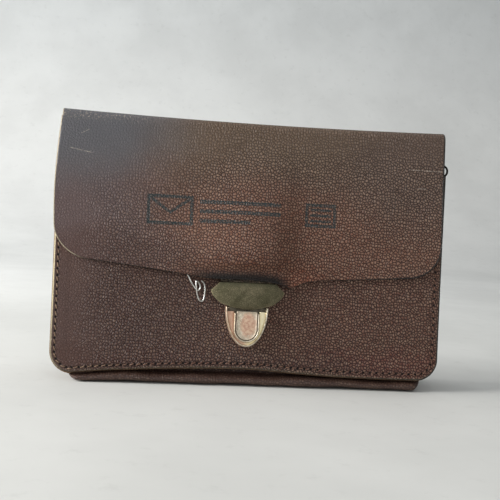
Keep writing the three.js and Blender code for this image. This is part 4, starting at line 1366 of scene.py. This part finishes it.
def suede_material():
    g = Graph("olive_suede")
    place = g.attribute("place")
    up = g.parts(place)[1]
    edge = g.parts(g.attribute("seam"))[2]
    speck = g.noise(place, 1.5, 5.0, 0.75)
    fibre = g.cells(g.vector("ADD", place, g.noise_vector(place, 1.0, 0.8)), 1.6, dimensions="3D")
    g.color = g.mix(g.step(g.noise(place, 0.11), 0.3, 0.7), srgb(106, 100, 76), srgb(134, 124, 100))
    g.shade_by(g.step(speck, 0.68, 0.42), (0.36, 0.38, 0.35))
    g.stain(g.step(speck, 0.6, 0.75) * 0.8, srgb(186, 176, 150))
    # Painted shadow of the flap's hem over the pad's top.
    g.shade_by(g.step(up, 12.5, 17), (0.42, 0.46, 0.42))
    g.stain(g.step(edge, 1.2, 0.2) * g.step(speck, 0.35, 0.6) * 0.5, srgb(150, 138, 108))
    g.put(g.shader.inputs["Sheen Weight"], 0.35)
    g.put(g.shader.inputs["Sheen Roughness"], 0.6)
    g.put(g.shader.inputs["Sheen Tint"], srgb(180, 172, 140))
    return g.finish(0.95, g.bump(speck + fibre * 0.5, 0.0005), specular=0.2)


def metal_material(name, bright, dull, stain, roughness, stain_share=0.5, tint=None, metallic=1.0):
    """Worn metal: bright rubbed places, duller film between, specks of stain, fine scratches."""
    g = Graph(name, bright)
    place = g.scaled(g.object_place(), 1 / MM)
    film = g.noise(place, 0.35, 4.0, 0.65)
    specks = g.noise(place, 1.6, 4.0, 0.7)
    scratches = g.noise(g.vector("MULTIPLY", place, (0.5, 1.0, 6.0)), 1.1)
    g.stain(g.step(film, 0.35, 0.65), dull)
    if tint is not None:
        tint(g)
    g.stain(g.step(specks, 0.56, 0.7) * stain_share, stain)
    rough = g.step(film, 0.3, 0.7, roughness, roughness + 0.2) + g.step(specks, 0.5, 0.7, 0.0, 0.15)
    return g.finish(rough, g.bump(scratches * 0.6 + specks, 0.00003), metallic=metallic)


def tint_shell(g):
    """Pinkish where the plating has gone at the left, yellowish at the right."""
    x, up, out = g.parts(g.attribute("place"))
    ground = g.step(out, 4.9, 4.5) * g.step(out, 2.5, 3.4)
    g.stain(ground * 0.85, g.mix(g.step(x, -3, 3), srgb(214, 180, 158), srgb(242, 230, 192)))
    g.shade_by(g.step(x, 2, -12), (0.86, 0.78, 0.72))


def tint_button(g):
    """Rubbed through to copper in the middle, with grey-green film at its left."""
    spot = g.attribute("place")
    x, up, out = g.parts(spot)
    cloud = g.noise(spot, 0.5)
    away = g.vector("MULTIPLY", g.vector("SUBTRACT", spot, (1.0, -12.0, 0.0)), (1 / 6.0, 1 / 9.0, 0.0))
    reach = g.length(away) + (cloud - 0.5) * 0.9
    copper = g.mix(g.step(cloud, 0.35, 0.65), srgb(216, 188, 162), srgb(192, 150, 130))
    g.stain(g.step(reach, 1.05, 0.75), copper)
    film = g.step(x, -2.0, -5.0) * g.step(g.noise(spot, 1.1, 4.0, 0.7), 0.42, 0.62)
    g.stain(film * g.step(out, 6.15, 6.0) * 0.6, srgb(128, 122, 100))


def thread_material():
    g = Graph("waxed_thread", srgb(112, 80, 68))
    place = g.scaled(g.object_place(), 1 / MM)
    wave = {"Vector": place, "Scale": 0.9, "Distortion": 1.0}
    ply = g.node("ShaderNodeTexWave", wave, "Fac", bands_direction="DIAGONAL")
    g.stain(g.step(g.noise(place, 0.08), 0.35, 0.65), srgb(130, 98, 82))
    g.stain(g.step(g.parts(place)[0], -60, -135) * 0.65, srgb(160, 138, 112))
    g.stain(g.step(g.noise(place, 0.9), 0.5, 0.75), srgb(82, 58, 48))
    return g.finish(0.75, g.bump(ply, 0.00012), specular=0.3)


def floor_material():
    """Pale and faintly cloudy, with painted shade that makes it a little darker toward the camera and up the
    wall.
    """
    g = Graph("pale_floor", srgb(214, 214, 211))
    place = g.object_place()
    depth, height = g.parts(place)[1:]
    g.stain(g.step(g.noise(place, 5.0, 4.0), 0.3, 0.7), srgb(224, 224, 221))
    g.stain(g.step(g.noise(place, 60.0, 4.0, 0.7), 0.55, 0.75) * 0.25, srgb(190, 190, 186))
    # Painted shade: darker toward the camera, then up the wall.
    g.shade_by(g.step(depth, 1.0, 0.1), (0.92, 0.92, 0.91))
    g.shade_by(g.step(height, 0.2, 0.8), (0.82, 0.84, 0.86))
    return g.finish(0.7, specular=0.25)


# The object
gusset_leather = dull_material("gusset_leather", srgb(98, 68, 58), 0.8, GUSSET_TUCK_SHADE, 1.5)
# Near black. On the strip under the flap this dark stands in for the shade of the recess.
tab_leather = dull_material("tab_leather", srgb(52, 38, 30), 0.0)
thread = thread_material()
nickel = metal_material(
    "worn_nickel", srgb(224, 214, 196), srgb(186, 174, 154), srgb(120, 110, 92), 0.3, 0.4, tint_shell, 0.75)
copper = metal_material(
    "rubbed_button", srgb(226, 214, 194), srgb(192, 176, 156), srgb(136, 112, 92), 0.36, 0.6,
    tint_button, 0.65)
# Dark tone stands in for the shade deep inside the lock.
shaded_tongue_steel = metal_material("shaded_tongue_steel", srgb(96, 90, 78), srgb(60, 56, 48), srgb(34, 30, 26), 0.4)
wire_steel = metal_material(
    "wire_steel", srgb(226, 226, 222), srgb(176, 174, 168), srgb(120, 114, 104), 0.2, 0.3)
black_ring = metal_material("blackened_ring", srgb(46, 44, 40), srgb(28, 27, 25), srgb(84, 76, 56), 0.4)

front_piece, front_threads = front_hide(panel_material())
flap_piece, back_threads = flap_hide(flap_material())
gusset_piece = gusset_hide(gusset_leather)
front_seam = new_object("front_seam_threads", *front_threads, thread)
back_seam = new_object("back_seam_threads", *back_threads, thread)
shell = lock_shell(nickel)
button = lock_button_cap(copper)
pad = tab_pad(suede_material())
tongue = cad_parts["lock_tongue"].data.materials
tongue.clear()
tongue.append(shaded_tongue_steel)

# Each piece with its body, its material slot and the node that it replaces
PIECES = [
    (front_piece, "bag", "hide", "front_panel"),
    (flap_piece, "bag", "hide", "back_and_flap"),
    (gusset_piece, "bag", "gusset_hide", "gusset"),
    (front_seam, "bag", "hide"),
    (back_seam, "bag", "hide"),
    (shell, "bag", "lock_metal", "lock_plate"),
    (button, "button", "button_metal", "lock_button"),
    (pad, "bag", "tab_suede", "lock_tab"),
    (tab_strip(tab_leather), "bag", "tab_suede", "lock_tab"),
    (bent_wire(wire_steel), "bag", "wire_metal", "wire_clip"),
    (ring_wire(black_ring), "ring", "ring_metal", "side_ring"),
    (ring_loop(tab_leather), "bag", "ring_tab_hide", "ring_tab"),
]
for piece, body, slot, *replaced in PIECES:
    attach(piece, body)
    if replaced:
        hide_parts(*replaced)


def studio_floor():
    """The floor, with a wall that rises behind in a wide curve."""
    depth, sweep, wall, wide = 1.1, 0.9, 2.2, 4.0
    line = [(-2.6, 0.0), *arc(depth, sweep, sweep, -0.5, 0, 25), (depth + sweep, sweep + wall)]
    vertices = [(x, y, z) for y, z in line for x in (-wide, wide)]
    faces = [(2 * i, 2 * i + 1, 2 * i + 3, 2 * i + 2) for i in range(len(line) - 1)]
    new_object("studio_floor", vertices, faces, floor_material(), closed=False)


def area_light(name, place, aim, size, power, color):
    light = bpy.data.lights.new(name, "AREA")
    light.shape = "RECTANGLE"
    light.size, light.size_y = size
    light.energy = power
    light.color = color
    made = bpy.data.objects.new(name, light)
    bpy.context.scene.collection.objects.link(made)
    made.location = place
    made.rotation_euler = (Vector(aim) - Vector(place)).to_track_quat("-Z", "Y").to_euler()


# Camera, solved from the photo's corners: place in metres, turns in radians, focal length in pixels
CAMERA_PLACE = (-0.08533, -0.64243, 0.12998)
CAMERA_YAW = 0.1263
CAMERA_PITCH = -0.0562
CAMERA_ROLL = 0.0583
FOCAL_PIXELS = 913.9
PHOTO_PIXELS = 500


def add_camera():
    data = bpy.data.cameras.new("photo_camera")
    data.sensor_width = 36
    data.lens = FOCAL_PIXELS / PHOTO_PIXELS * data.sensor_width
    data.clip_start = 0.01
    camera = bpy.data.objects.new("photo_camera", data)
    bpy.context.scene.collection.objects.link(camera)
    camera.matrix_world = Matrix.Translation(CAMERA_PLACE)
    for turn, axis in ((-CAMERA_YAW, "Z"), (math.pi / 2 + CAMERA_PITCH, "X"), (CAMERA_ROLL, "Z")):
        camera.matrix_world = camera.matrix_world @ Matrix.Rotation(turn, 4, axis)
    bpy.context.scene.camera = camera


# Lights, in metres and watts
studio_floor()
area_light("window", (-1.5, -0.2, 0.6), (0, 0, 0.06), (0.8, 0.7), 40, (1.0, 0.99, 0.97))
area_light("front_fill", (0.2, -1.9, 0.85), (0, 0, 0.08), (2.4, 1.7), 11, (1.0, 0.98, 0.96))
area_light("top", (-0.2, 0.3, 1.9), (0, 0.2, 0), (2.4, 2.0), 9, (0.97, 0.99, 1.0))
area_light("back_wall", (-0.9, 0.9, 0.7), (0.4, 2.0, 0.4), (1.6, 0.8), 6.5, (0.96, 0.98, 1.0))
add_camera()

world = bpy.data.worlds.new("pale_room")
world.use_nodes = True
world.node_tree.nodes["Background"].inputs["Color"].default_value = (0.86, 0.9, 0.94, 1)
world.node_tree.nodes["Background"].inputs["Strength"].default_value = 0.3
bpy.context.scene.world = world
bpy.context.scene.view_settings.view_transform = "Standard"
